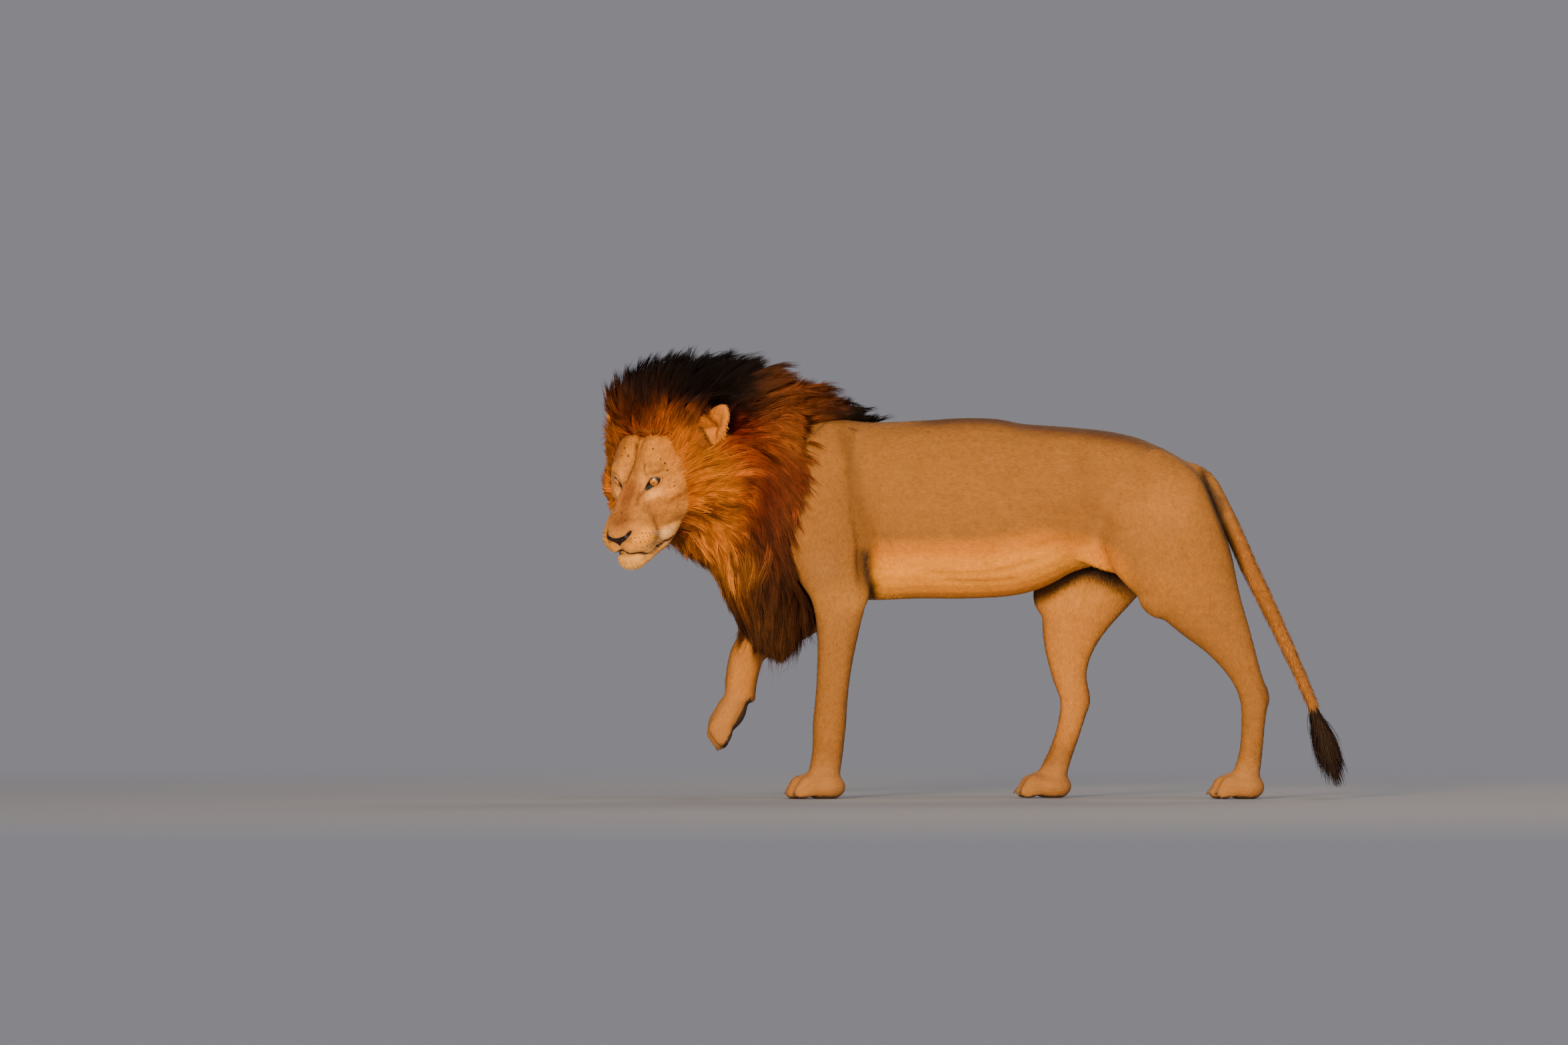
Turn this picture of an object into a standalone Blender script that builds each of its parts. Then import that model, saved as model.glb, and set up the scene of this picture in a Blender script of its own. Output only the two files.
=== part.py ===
"""A life-size male lion in mid-stride: three paws on the floor, the right forepaw lifted, the head turned.

Metres, +Z up. The lion walks towards -X, so -Y is its left side. The soles lie on Z = 0.
The whole animal is modelled out to the tips of its coat: lofts for the trunk, mane, legs, tail and head, and
rounded masses for the muscles, all fused. Thin cuts then part it where its parts are named.
"""

import math

import bmesh
import bpy
import numpy as np
from mathutils import Matrix, Vector

# ---------------------------------------------------------------- driving dimensions
CUT = 0.0004  # width of the cuts that part the body
LEFT, RIGHT = -1, 1

HEAD_AT = Vector((-0.880, -0.300, 0.722))  # the tip of the nose
HEAD_TURN = math.radians(57)  # towards the lion's left
HEAD_DOWN = math.radians(34)  # the palate below level
HEAD_ROLL = math.radians(0.5)
HEAD_SCALE = 1.10

EYE_RADIUS = 0.019
EYE_AT = (0.148, 0.058, 0.068)  # in the head's frame: back from the nose, outwards, up
EYE_TURN = math.radians(24)  # outwards from straight ahead
EYE_SUNK = 1.17  # how far the ball's middle lies behind that place, in its radii
EAR_AT = {-1: (0.352, 0.146, 0.080), 1: (0.372, 0.134, 0.072)}  # left and right: the right one is laid back

BODY_VOXEL, BODY_FACES = 0.0075, 2780
MANE_VOXEL, MANE_FACES = 0.0120, 900
HEAD_VOXEL, HEAD_FACES = 0.0035, 840
EAR_FACES = 124
HEAD_BACK = 0.300  # in the head's frame: behind this the skull is part of the ruff
LIMB_SPARE, TAIL_SPARE = 0.022, 0.012  # how far the cells that part them stand off the limbs and the tail
CELL_OUT = 0.012  # how far outwards those cells are moved, clear of the trunk
SHARP = math.radians(50)  # edges sharper than this stay sharp in the shading

MATERIALS = {  # colour, roughness
    "coat": ((0.52, 0.31, 0.15), 0.85),
    "face": ((0.50, 0.31, 0.17), 0.80),
    "golden_mane": ((0.50, 0.22, 0.06), 0.90),
    "russet_mane": ((0.30, 0.11, 0.035), 0.90),
    "dark_mane": ((0.045, 0.024, 0.015), 0.90),
    "nose_leather": ((0.045, 0.030, 0.028), 0.45),
    "eye": ((0.55, 0.28, 0.05), 0.15),
}


# ---------------------------------------------------------------- modelling tools
def clear_scene():
    for obj in list(bpy.data.objects):
        bpy.data.objects.remove(obj)


def mesh_object(name, mesh):
    obj = bpy.data.objects.new(name, mesh)
    bpy.context.scene.collection.objects.link(obj)
    return obj


def object_of(name, bm):
    """An object from a bmesh, which is used up."""
    mesh = bpy.data.meshes.new(name)
    bm.to_mesh(mesh)
    bm.free()
    return mesh_object(name, mesh)


def smooth_rows(rows, steps):
    """Rows of numbers, read from a smooth curve through them: a Catmull-Rom spline, steps points a span."""
    rows = np.array(rows, float)
    before = np.vstack([2 * rows[0] - rows[1], rows, 2 * rows[-1] - rows[-2]])
    out = []
    for i in range(len(rows) - 1):
        a, b, c, d = before[i : i + 4]
        for t in np.arange(steps) / steps:
            curve = 2 * b + (c - a) * t + (2 * a - 5 * b + 4 * c - d) * t * t + (3 * b - a - 3 * c + d) * t**3
            out.append(0.5 * curve)
    out.append(rows[-1])
    return np.array(out)


def loft(stations, steps=5, sides=28, squareness=2.3, side_axis=(0, 1, 0)):
    """A closed tube. A station is x, y, z, then the radii to the front, the back and either side.

    Front is side_axis x the way along the tube: forwards on a leg that is listed downwards, and up on a
    trunk that is listed from the rump to the chest.
    """
    rows = smooth_rows(stations, steps)
    centres = rows[:, :3]
    tangents = np.gradient(centres, axis=0)
    bm = bmesh.new()
    rings = []
    for centre, tangent, (front, back, side) in zip(centres, tangents, rows[:, 3:6]):
        tangent = Vector(tangent).normalized()
        forward = Vector(side_axis).cross(tangent).normalized()
        across = tangent.cross(forward)
        ring = []
        for k in range(sides):
            angle = 2 * math.pi * k / sides
            c, s = math.cos(angle), math.sin(angle)
            c = math.copysign(abs(c) ** (2 / squareness), c)
            s = math.copysign(abs(s) ** (2 / squareness), s)
            depth = front if c > 0 else back
            ring.append(bm.verts.new(Vector(centre) + forward * (c * depth) + across * (s * side)))
        rings.append(ring)
    for one, other in zip(rings, rings[1:]):
        for k in range(sides):
            bm.faces.new((one[k], one[(k + 1) % sides], other[(k + 1) % sides], other[k]))
    bm.faces.new(rings[0][::-1])
    bm.faces.new(rings[-1])
    bmesh.ops.recalc_face_normals(bm, faces=bm.faces)
    return object_of("loft", bm)


def mass(centre, radii, turn=(0, 0, 0), detail=3):
    """An ellipsoid. turn is in degrees, about X, Y and Z."""
    bm = bmesh.new()
    bmesh.ops.create_icosphere(bm, subdivisions=detail, radius=1)
    angles = [math.radians(a) for a in turn]
    about_x, about_y, about_z = (Matrix.Rotation(angle, 4, axis) for angle, axis in zip(angles, "XYZ"))
    spin = about_z @ about_y @ about_x
    bm.transform(Matrix.Translation(Vector(centre)) @ spin @ Matrix.Diagonal((*radii, 1)))
    return object_of("mass", bm)


def pair(centre, radii, turn=(0, 0, 0)):
    """A mass on either side. The centre is the right one's, with Y to the right."""
    x, y, z = centre
    a, b, c = turn
    return [mass((x, y, z), radii, (a, b, c)), mass((x, -y, z), radii, (-a, b, -c))]


def apply_modifiers(obj):
    graph = bpy.context.evaluated_depsgraph_get()
    mesh = bpy.data.meshes.new_from_object(obj.evaluated_get(graph), depsgraph=graph)
    obj.modifiers.clear()
    old, obj.data = obj.data, mesh
    bpy.data.meshes.remove(old)
    return obj


def join(name, objects):
    bm = bmesh.new()
    for obj in objects:
        mesh = obj.data
        mesh.transform(obj.matrix_world)
        bm.from_mesh(mesh)
        bpy.data.objects.remove(obj)
        bpy.data.meshes.remove(mesh)
    return object_of(name, bm)


def fuse(name, objects, voxel, rounds):
    """One skin round all of them. rounds is how often the creases where they meet are smoothed."""
    obj = join(name, objects)
    remesh = obj.modifiers.new("skin", "REMESH")
    remesh.mode = "VOXEL"
    remesh.voxel_size = voxel
    if rounds:
        soften = obj.modifiers.new("soften", "SMOOTH")
        soften.factor = 0.5
        soften.iterations = rounds
    return apply_modifiers(obj)


def points_of(obj):
    found = np.empty(len(obj.data.vertices) * 3, np.float32)
    obj.data.vertices.foreach_get("co", found)
    return found.reshape(-1, 3).astype(float)


def normals_of(obj):
    found = np.empty(len(obj.data.vertices) * 3, np.float32)
    obj.data.vertices.foreach_get("normal", found)
    return found.reshape(-1, 3).astype(float)


def set_points(obj, points):
    obj.data.vertices.foreach_set("co", points.astype(np.float32).ravel())
    obj.data.update()


def bump(points, centre, radii, height):
    """How far a soft round swelling lifts each point: height at its centre, and nothing a few radii away."""
    away = (points - np.array(centre)) / np.array(radii)
    return height * np.exp(-(away**2).sum(1))


# ---------------------------------------------------------------- the body
def trunk():
    """From the rump to the chest: x, y, middle z, then up, down and half-width."""
    stations = [
        (0.800, 0, 0.790, 0.040, 0.060, 0.045),
        (0.755, 0, 0.800, 0.080, 0.100, 0.100),
        (0.680, 0, 0.810, 0.135, 0.130, 0.135),
        (0.580, 0, 0.820, 0.175, 0.150, 0.150),
        (0.470, 0, 0.830, 0.196, 0.180, 0.158),
        (0.360, 0, 0.820, 0.222, 0.196, 0.175),
        (0.230, 0, 0.800, 0.256, 0.236, 0.190),
        (0.100, 0, 0.800, 0.264, 0.248, 0.194),
        (-0.040, 0, 0.800, 0.256, 0.248, 0.190),
        (-0.180, 0, 0.800, 0.250, 0.252, 0.178),
        (-0.300, 0, 0.800, 0.262, 0.240, 0.160),
        (-0.420, 0, 0.815, 0.235, 0.215, 0.135),
        (-0.500, 0, 0.840, 0.160, 0.150, 0.095),
    ]
    return loft(stations, squareness=2.15)


FORELEG_LEFT = [  # the leg that carries: x, outwards, z, then front, back and side
    (-0.258, 0.070, 1.030, 0.050, 0.045, 0.040),
    (-0.280, 0.105, 0.940, 0.110, 0.085, 0.055),
    (-0.305, 0.128, 0.840, 0.135, 0.100, 0.065),
    (-0.310, 0.135, 0.740, 0.125, 0.112, 0.068),
    (-0.290, 0.130, 0.650, 0.100, 0.112, 0.064),
    (-0.268, 0.122, 0.570, 0.078, 0.094, 0.056),
    (-0.262, 0.112, 0.480, 0.066, 0.062, 0.052),
    (-0.272, 0.098, 0.380, 0.054, 0.050, 0.046),
    (-0.282, 0.084, 0.280, 0.049, 0.047, 0.046),
    (-0.288, 0.075, 0.210, 0.050, 0.049, 0.049),
    (-0.296, 0.070, 0.130, 0.044, 0.048, 0.048),
    (-0.306, 0.066, 0.070, 0.044, 0.050, 0.050),
]
FORELEG_RIGHT = [  # the lifted leg
    (-0.270, 0.070, 1.030, 0.050, 0.045, 0.040),
    (-0.310, 0.105, 0.940, 0.105, 0.090, 0.055),
    (-0.350, 0.128, 0.850, 0.120, 0.105, 0.065),
    (-0.365, 0.138, 0.750, 0.105, 0.120, 0.068),
    (-0.335, 0.140, 0.655, 0.090, 0.115, 0.064),
    (-0.320, 0.138, 0.575, 0.075, 0.090, 0.058),
    (-0.375, 0.135, 0.500, 0.066, 0.064, 0.052),
    (-0.445, 0.130, 0.455, 0.052, 0.050, 0.047),
    (-0.508, 0.125, 0.413, 0.049, 0.047, 0.046),
    (-0.532, 0.122, 0.340, 0.045, 0.045, 0.047),
    (-0.540, 0.120, 0.270, 0.040, 0.044, 0.048),
]
HINDLEG_LEFT = [  # the leg that pushes off
    (0.540, 0.075, 0.930, 0.095, 0.100, 0.050),
    (0.590, 0.112, 0.830, 0.160, 0.160, 0.075),
    (0.640, 0.125, 0.720, 0.170, 0.165, 0.082),
    (0.695, 0.125, 0.620, 0.140, 0.150, 0.076),
    (0.750, 0.120, 0.530, 0.105, 0.115, 0.062),
    (0.810, 0.115, 0.440, 0.068, 0.078, 0.048),
    (0.858, 0.110, 0.350, 0.043, 0.052, 0.038),
    (0.885, 0.105, 0.280, 0.040, 0.044, 0.036),
    (0.886, 0.102, 0.210, 0.036, 0.036, 0.034),
    (0.880, 0.100, 0.130, 0.036, 0.035, 0.036),
    (0.868, 0.098, 0.070, 0.040, 0.040, 0.042),
]
HINDLEG_RIGHT = [  # the leg that has stepped forwards
    (0.550, 0.075, 0.930, 0.110, 0.090, 0.050),
    (0.540, 0.112, 0.830, 0.165, 0.150, 0.075),
    (0.500, 0.125, 0.720, 0.165, 0.160, 0.082),
    (0.445, 0.128, 0.620, 0.135, 0.140, 0.074),
    (0.405, 0.125, 0.530, 0.108, 0.112, 0.062),
    (0.382, 0.118, 0.440, 0.080, 0.080, 0.050),
    (0.380, 0.110, 0.350, 0.055, 0.052, 0.040),
    (0.392, 0.104, 0.275, 0.042, 0.046, 0.037),
    (0.380, 0.100, 0.200, 0.037, 0.038, 0.034),
    (0.358, 0.098, 0.130, 0.037, 0.036, 0.036),
    (0.335, 0.096, 0.070, 0.042, 0.042, 0.042),
]


def leg(stations, side):
    return loft([(x, side * out, z, front, back, wide) for x, out, z, front, back, wide in stations])


TOES = 4
FOREPAW = (0.168, 0.134)  # length and width
HINDPAW = (0.158, 0.120)
FOREPAW_LEFT_AT = Vector((-0.250, -0.064, -0.003))
HINDPAW_LEFT_AT = Vector((0.912, -0.100, -0.003))
HINDPAW_RIGHT_AT = Vector((0.380, 0.096, -0.003))
FOREPAW_RIGHT_AT = Vector((-0.508, 0.120, 0.268))
FOREPAW_RIGHT_HANGS = math.radians(-62)


def paw(heel, side, length, width, pitch=0.0):
    """A palm and four toes that point forwards. heel is the middle of the palm's back, on the sole."""
    parts = [
        mass((-length * 0.30, 0, 0.036), (length * 0.36, width * 0.44, 0.042)),
        mass((-length * 0.52, 0, 0.042), (length * 0.30, width * 0.42, 0.038)),
    ]
    for k in range(TOES):
        spread = (k - 1.5) / 1.5
        reach = length * (0.80 - 0.11 * spread**2 - 0.03 * spread * side)
        across = spread * width * 0.34
        splay = -8 * spread
        parts.append(mass((-reach + 0.018, across, 0.038), (0.036, width * 0.150, 0.034), (0, 12, splay)))
        pad = (-reach - 0.002, across * 1.04, 0.022)
        parts.append(mass(pad, (0.026, width * 0.138, 0.024), (0, 0, splay)))
    place = Matrix.Translation(heel) @ Matrix.Rotation(pitch, 4, "Y")
    for part in parts:
        part.data.transform(place)
    return parts


def paws():
    return (
        paw(FOREPAW_LEFT_AT, LEFT, *FOREPAW)
        + paw(HINDPAW_LEFT_AT, LEFT, *HINDPAW)
        + paw(HINDPAW_RIGHT_AT, RIGHT, *HINDPAW)
        + paw(FOREPAW_RIGHT_AT, RIGHT, *FOREPAW, FOREPAW_RIGHT_HANGS)
    )


def muscles():
    """What the lofts leave out: hocks, elbows, the flank folds, the knees and the scrotum."""
    return [
        mass((0.905, -0.104, 0.298), (0.026, 0.024, 0.050), (0, -20, 0)),  # left hock
        mass((0.415, 0.103, 0.285), (0.026, 0.024, 0.050), (0, -10, 0)),
        mass((0.640, -0.130, 0.575), (0.080, 0.052, 0.080), (0, 40, 0)),  # left knee
        mass((0.350, 0.130, 0.565), (0.075, 0.052, 0.080)),
        mass((-0.205, -0.125, 0.590), (0.040, 0.036, 0.060)),  # left elbow
        mass((-0.262, 0.133, 0.590), (0.040, 0.036, 0.060)),
        mass((0.460, -0.095, 0.725), (0.170, 0.045, 0.085), (0, 24, 0)),  # left flank fold
        mass((0.390, 0.095, 0.720), (0.130, 0.045, 0.090), (0, 20, 0)),
        mass((0.735, 0.0, 0.680), (0.034, 0.040, 0.046)),  # scrotum
    ]


TAIL = [  # x, y, z, then top, underside and side
    (0.670, 0.000, 0.890, 0.040, 0.060, 0.050),
    (0.745, 0.000, 0.872, 0.038, 0.046, 0.040),
    (0.810, 0.000, 0.785, 0.030, 0.030, 0.029),
    (0.862, 0.000, 0.675, 0.026, 0.026, 0.026),
    (0.920, 0.000, 0.555, 0.024, 0.024, 0.024),
    (0.972, 0.000, 0.445, 0.021, 0.021, 0.021),
    (1.020, 0.004, 0.340, 0.018, 0.018, 0.018),
    (1.058, 0.008, 0.250, 0.017, 0.017, 0.017),
]
TAIL_TUFT = [
    (1.050, 0.007, 0.270, 0.018, 0.018, 0.018),
    (1.072, 0.010, 0.215, 0.034, 0.034, 0.032),
    (1.094, 0.013, 0.150, 0.037, 0.037, 0.034),
    (1.112, 0.015, 0.095, 0.018, 0.018, 0.016),
    (1.118, 0.016, 0.070, 0.005, 0.005, 0.005),
]


# The mane's lofts. The collar and the crest are listed from the withers on, and the chest downwards.
COLLAR = [
    (-0.315, 0.000, 0.850, 0.190, 0.230, 0.150),
    (-0.362, 0.000, 0.840, 0.240, 0.320, 0.207),
    (-0.430, 0.010, 0.845, 0.310, 0.310, 0.222),
    (-0.520, 0.018, 0.875, 0.300, 0.270, 0.208),
    (-0.610, 0.022, 0.915, 0.260, 0.260, 0.174),
    (-0.690, 0.018, 0.950, 0.215, 0.230, 0.138),
    (-0.760, 0.015, 0.975, 0.165, 0.170, 0.100),
    (-0.810, 0.010, 0.990, 0.090, 0.090, 0.050),
]
CREST = [
    (-0.165, 0.000, 1.045, 0.015, 0.030, 0.015),
    (-0.200, 0.000, 1.060, 0.052, 0.060, 0.040),
    (-0.280, 0.000, 1.075, 0.078, 0.080, 0.062),
    (-0.380, 0.000, 1.090, 0.090, 0.100, 0.080),
    (-0.480, 0.000, 1.105, 0.098, 0.120, 0.095),
    (-0.580, 0.000, 1.120, 0.104, 0.120, 0.105),
    (-0.660, -0.020, 1.125, 0.100, 0.120, 0.110),
    (-0.730, -0.065, 1.120, 0.098, 0.120, 0.115),
    (-0.800, -0.125, 1.105, 0.090, 0.120, 0.115),
    (-0.850, -0.175, 1.085, 0.080, 0.100, 0.100),
    (-0.885, -0.210, 1.065, 0.045, 0.060, 0.060),
]
CHEST = [
    (-0.500, 0.000, 0.800, 0.170, 0.120, 0.190),
    (-0.490, 0.000, 0.700, 0.150, 0.140, 0.172),
    (-0.475, 0.000, 0.600, 0.120, 0.130, 0.142),
    (-0.445, 0.000, 0.510, 0.100, 0.100, 0.108),
    (-0.425, 0.000, 0.450, 0.080, 0.078, 0.076),
    (-0.415, 0.000, 0.418, 0.045, 0.048, 0.045),
]


def mane():
    """The mane's outer form, with the neck inside it."""
    far_side = mass((-0.770, 0.080, 0.880), (0.120, 0.090, 0.150))
    return [loft(COLLAR, squareness=2.2), loft(CREST, squareness=2.0), loft(CHEST), far_side]


# ---------------------------------------------------------------- the head, in its own frame
def head_pose():
    """The head's frame is placed by its nose: -X ahead, -Y to its left, +Z up."""
    turn = Matrix.Rotation(HEAD_TURN, 4, "Z")
    down = Matrix.Rotation(-HEAD_DOWN, 4, "Y")
    roll = Matrix.Rotation(HEAD_ROLL, 4, "X")
    return Matrix.Translation(HEAD_AT) @ turn @ down @ roll @ Matrix.Scale(HEAD_SCALE, 4)


def skull():
    """From the back of the head to between the eyes: x, y, middle z, then up, down and half-width."""
    stations = [
        (0.400, 0, 0.020, 0.060, 0.050, 0.055),
        (0.365, 0, 0.022, 0.108, 0.098, 0.098),
        (0.315, 0, 0.020, 0.132, 0.122, 0.120),
        (0.265, 0, 0.012, 0.136, 0.122, 0.124),
        (0.215, 0, 0.002, 0.122, 0.108, 0.110),
        (0.165, 0, -0.006, 0.098, 0.090, 0.078),
        (0.115, 0, -0.014, 0.068, 0.076, 0.050),
        (0.080, 0, -0.018, 0.045, 0.050, 0.035),
    ]
    return loft(stations, squareness=2.4)


def muzzle():
    stations = [
        (0.230, 0, -0.002, 0.110, 0.066, 0.062),
        (0.165, 0, -0.006, 0.098, 0.062, 0.052),
        (0.110, 0, -0.011, 0.074, 0.052, 0.053),
        (0.065, 0, -0.016, 0.056, 0.042, 0.058),
        (0.035, 0, -0.018, 0.042, 0.036, 0.052),
        (0.014, 0, -0.018, 0.032, 0.028, 0.036),
        (0.008, 0, -0.018, 0.020, 0.016, 0.022),
    ]
    return loft(stations, squareness=3.0)


def jaw():
    stations = [
        (0.290, 0, -0.040, 0.050, 0.070, 0.090),
        (0.220, 0, -0.060, 0.056, 0.050, 0.078),
        (0.150, 0, -0.074, 0.050, 0.034, 0.060),
        (0.090, 0, -0.078, 0.044, 0.028, 0.048),
        (0.052, 0, -0.078, 0.042, 0.026, 0.044),
        (0.028, 0, -0.074, 0.034, 0.026, 0.036),
        (0.015, 0, -0.072, 0.020, 0.018, 0.022),
    ]
    return loft(stations, squareness=2.4)


FACE_FORMS = [  # swellings and hollows on both sides: back, outwards, up, their radii, and the height
    ((0.058, 0.058, -0.026), (0.036, 0.020, 0.026), 0.008),  # whisker pads
    ((0.014, 0.020, -0.036), (0.016, 0.018, 0.018), 0.005),
    ((0.115, 0.056, -0.030), (0.022, 0.022, 0.034), -0.006),  # behind the whisker pads
    ((0.100, 0.052, 0.028), (0.046, 0.014, 0.018), -0.005),  # beside the nose
    ((0.140, 0.058, 0.062), (0.026, 0.022, 0.019), -0.012),  # eye sockets
    ((0.170, 0.056, 0.096), (0.028, 0.026, 0.016), 0.008),  # brows
    ((0.185, 0.088, 0.028), (0.046, 0.030, 0.024), 0.008),  # cheekbones
    ((0.240, 0.104, 0.088), (0.040, 0.030, 0.026), -0.006),  # temples
    ((0.270, 0.110, -0.050), (0.060, 0.040, 0.060), 0.012),  # jaw muscles
    ((0.225, 0.034, 0.128), (0.048, 0.020, 0.030), 0.005),  # forehead
    ((0.215, 0.000, 0.125), (0.060, 0.010, 0.040), -0.006),  # the groove along it
    ((0.075, 0.056, -0.083), (0.050, 0.020, 0.008), -0.007),  # the line of the mouth
    ((0.022, 0.028, -0.066), (0.024, 0.024, 0.008), -0.006),
]


def sculpt(obj, forms):
    """Raise soft swellings on obj, and press hollows into it, the same on both sides of the head."""
    points = points_of(obj)
    height = np.zeros(len(points))
    for centre, radii, rise in forms:
        for side in (LEFT, RIGHT) if centre[1] else (RIGHT,):
            spot = (centre[0], side * centre[1], centre[2])
            height += bump(points, spot, radii, rise)
    set_points(obj, points + normals_of(obj) * height[:, None])
    return obj


def head_form(voxel, rounds):
    """The head in its own frame, without ears, eyes or nose pad."""
    parts = [skull(), muzzle(), jaw()]
    parts += pair((0.060, 0.036, -0.030), (0.050, 0.031, 0.042), (0, -4, 8))  # whisker pads
    parts += pair((0.074, 0.038, -0.058), (0.046, 0.020, 0.024))  # upper lips
    parts += pair((0.026, 0.017, -0.030), (0.022, 0.022, 0.026))
    parts.append(mass((0.018, 0, -0.002), (0.018, 0.036, 0.018), (0, 25, 0)))  # nose
    return sculpt(fuse("head", parts, voxel, rounds), FACE_FORMS)


def ear(side):
    """A rounded shell, hollow towards the front and outside, in the head's frame."""
    bm = bmesh.new()
    bmesh.ops.create_icosphere(bm, subdivisions=4, radius=1)
    points = np.array([v.co for v in bm.verts])
    height = points[:, 2]
    shape = np.empty_like(points)
    shape[:, 0] = points[:, 0] * 0.019
    shape[:, 1] = points[:, 1] * 0.042 * (1 - 0.18 * np.clip(height, -1, 1))
    shape[:, 2] = height * 0.066
    inside = np.exp(-(((points[:, 1]) / 0.62) ** 2) - ((height - 0.05) / 0.72) ** 2)
    shape[:, 0] += np.where(points[:, 0] < 0, 0.026 * inside, 0.010 * inside)
    for v, place in zip(bm.verts, shape):
        v.co = place
    lean = Matrix.Rotation(side * math.radians(-34), 4, "X")
    open_out = Matrix.Rotation(side * math.radians(38), 4, "Z")
    tip_back = Matrix.Rotation(math.radians(14), 4, "Y")
    x, out, z = EAR_AT[side]
    bm.transform(Matrix.Translation((x, side * out, z + 0.03)) @ lean @ open_out @ tip_back)
    return object_of("ear", bm)


def ruff():
    """The golden hair that frames the face, in the head's frame."""
    return [
        mass((0.305, 0, 0.030), (0.080, 0.190, 0.185)),
        mass((0.345, 0, 0.005), (0.090, 0.218, 0.200)),
        mass((0.275, 0, 0.165), (0.060, 0.110, 0.060), (0, -15, 0)),
        *pair((0.325, 0.155, -0.060), (0.085, 0.085, 0.130), (20, 0, 0)),
        mass((0.275, 0, -0.125), (0.080, 0.100, 0.060)),
    ]


def in_head_frame(objects):
    pose = head_pose()
    for obj in objects:
        obj.data.transform(pose)
    return objects


def eye(side):
    """A ball, set into the head."""
    back, out, up = EYE_AT
    sunk = EYE_RADIUS * EYE_SUNK
    centre = Vector((back + sunk * math.cos(EYE_TURN), side * (out - sunk * math.sin(EYE_TURN)), up))
    bm = bmesh.new()
    bmesh.ops.create_uvsphere(bm, u_segments=12, v_segments=7, radius=EYE_RADIUS)
    bm.transform(Matrix.Translation(centre) @ Matrix.Rotation(math.radians(90), 4, "Y"))
    return object_of("eye", bm)


# ---------------------------------------------------------------- parting
def thinned(obj, faces):
    """The same form in about this many triangles."""
    cut = obj.modifiers.new("thin", "DECIMATE")
    obj.data.calc_loop_triangles()
    cut.ratio = faces / len(obj.data.loop_triangles)
    return apply_modifiers(obj)


def boolean(obj, other, operation):
    step = obj.modifiers.new("step", "BOOLEAN")
    step.operation = operation
    step.object = other
    return apply_modifiers(obj)


def copy_of(obj, grow=0.0):
    """A copy, swollen by grow along its normals."""
    twin = mesh_object(obj.name + "_copy", obj.data.copy())
    if grow:
        set_points(twin, points_of(obj) + normals_of(obj) * grow)
    return twin


def carve(obj, *tools):
    """Take each tool, and a thin gap round it, out of obj."""
    for tool in tools:
        grown = copy_of(tool, CUT)
        boolean(obj, grown, "DIFFERENCE")
        bpy.data.objects.remove(grown)
    return obj


def triangulate(obj):
    bm = bmesh.new()
    bm.from_mesh(obj.data)
    bmesh.ops.triangulate(bm, faces=bm.faces)
    bm.to_mesh(obj.data)
    bm.free()


def split(obj, name, cell):
    """Part off what lies inside the cell, as a node of its own. The cell is used up.

    Its bent quads are halved first, so that the cell and its swollen copy are halved the same way.
    """
    triangulate(cell)
    inside = boolean(copy_of(obj), cell, "INTERSECT")
    inside.name = name
    carve(obj, cell)
    bpy.data.objects.remove(cell)
    return inside


def box(low, high):
    bm = bmesh.new()
    bmesh.ops.create_cube(bm, size=1)
    low, high = Vector(low), Vector(high)
    bm.transform(Matrix.Translation((low + high) / 2) @ Matrix.Diagonal((*(high - low), 1)))
    return object_of("box", bm)


def limb_cell(stations, side, spare):
    """A cell that holds a limb, from its first station down."""
    rows = [(x, side * (out + CELL_OUT), z, front + spare, back + spare, wide + spare)
            for x, out, z, front, back, wide in stations]
    return loft(rows, steps=1, sides=12)


def without_crumbs(obj):
    """Only the largest of the separate bodies, where the others are crumbs."""
    bm = bmesh.new()
    bm.from_mesh(obj.data)
    left = set(bm.verts)
    bodies = []
    while left:
        stack, found = [left.pop()], set()
        while stack:
            vert = stack.pop()
            found.add(vert)
            for edge in vert.link_edges:
                other = edge.other_vert(vert)
                if other in left:
                    left.remove(other)
                    stack.append(other)
        bodies.append(found)
    bodies.sort(key=len)
    for crumb in bodies[:-1]:
        bmesh.ops.delete(bm, geom=list(crumb), context="VERTS")
    bm.to_mesh(obj.data)
    bm.free()
    return obj


# ---------------------------------------------------------------- the whole lion
def body_form():
    parts = [
        trunk(),
        leg(FORELEG_LEFT, LEFT),
        leg(FORELEG_RIGHT, RIGHT),
        leg(HINDLEG_LEFT, LEFT),
        leg(HINDLEG_RIGHT, RIGHT),
        *paws(),
        *muscles(),
        loft(TAIL, sides=16),
        loft(TAIL_TUFT, sides=16),
    ]
    return fuse("trunk", parts, BODY_VOXEL, 8)


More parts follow.
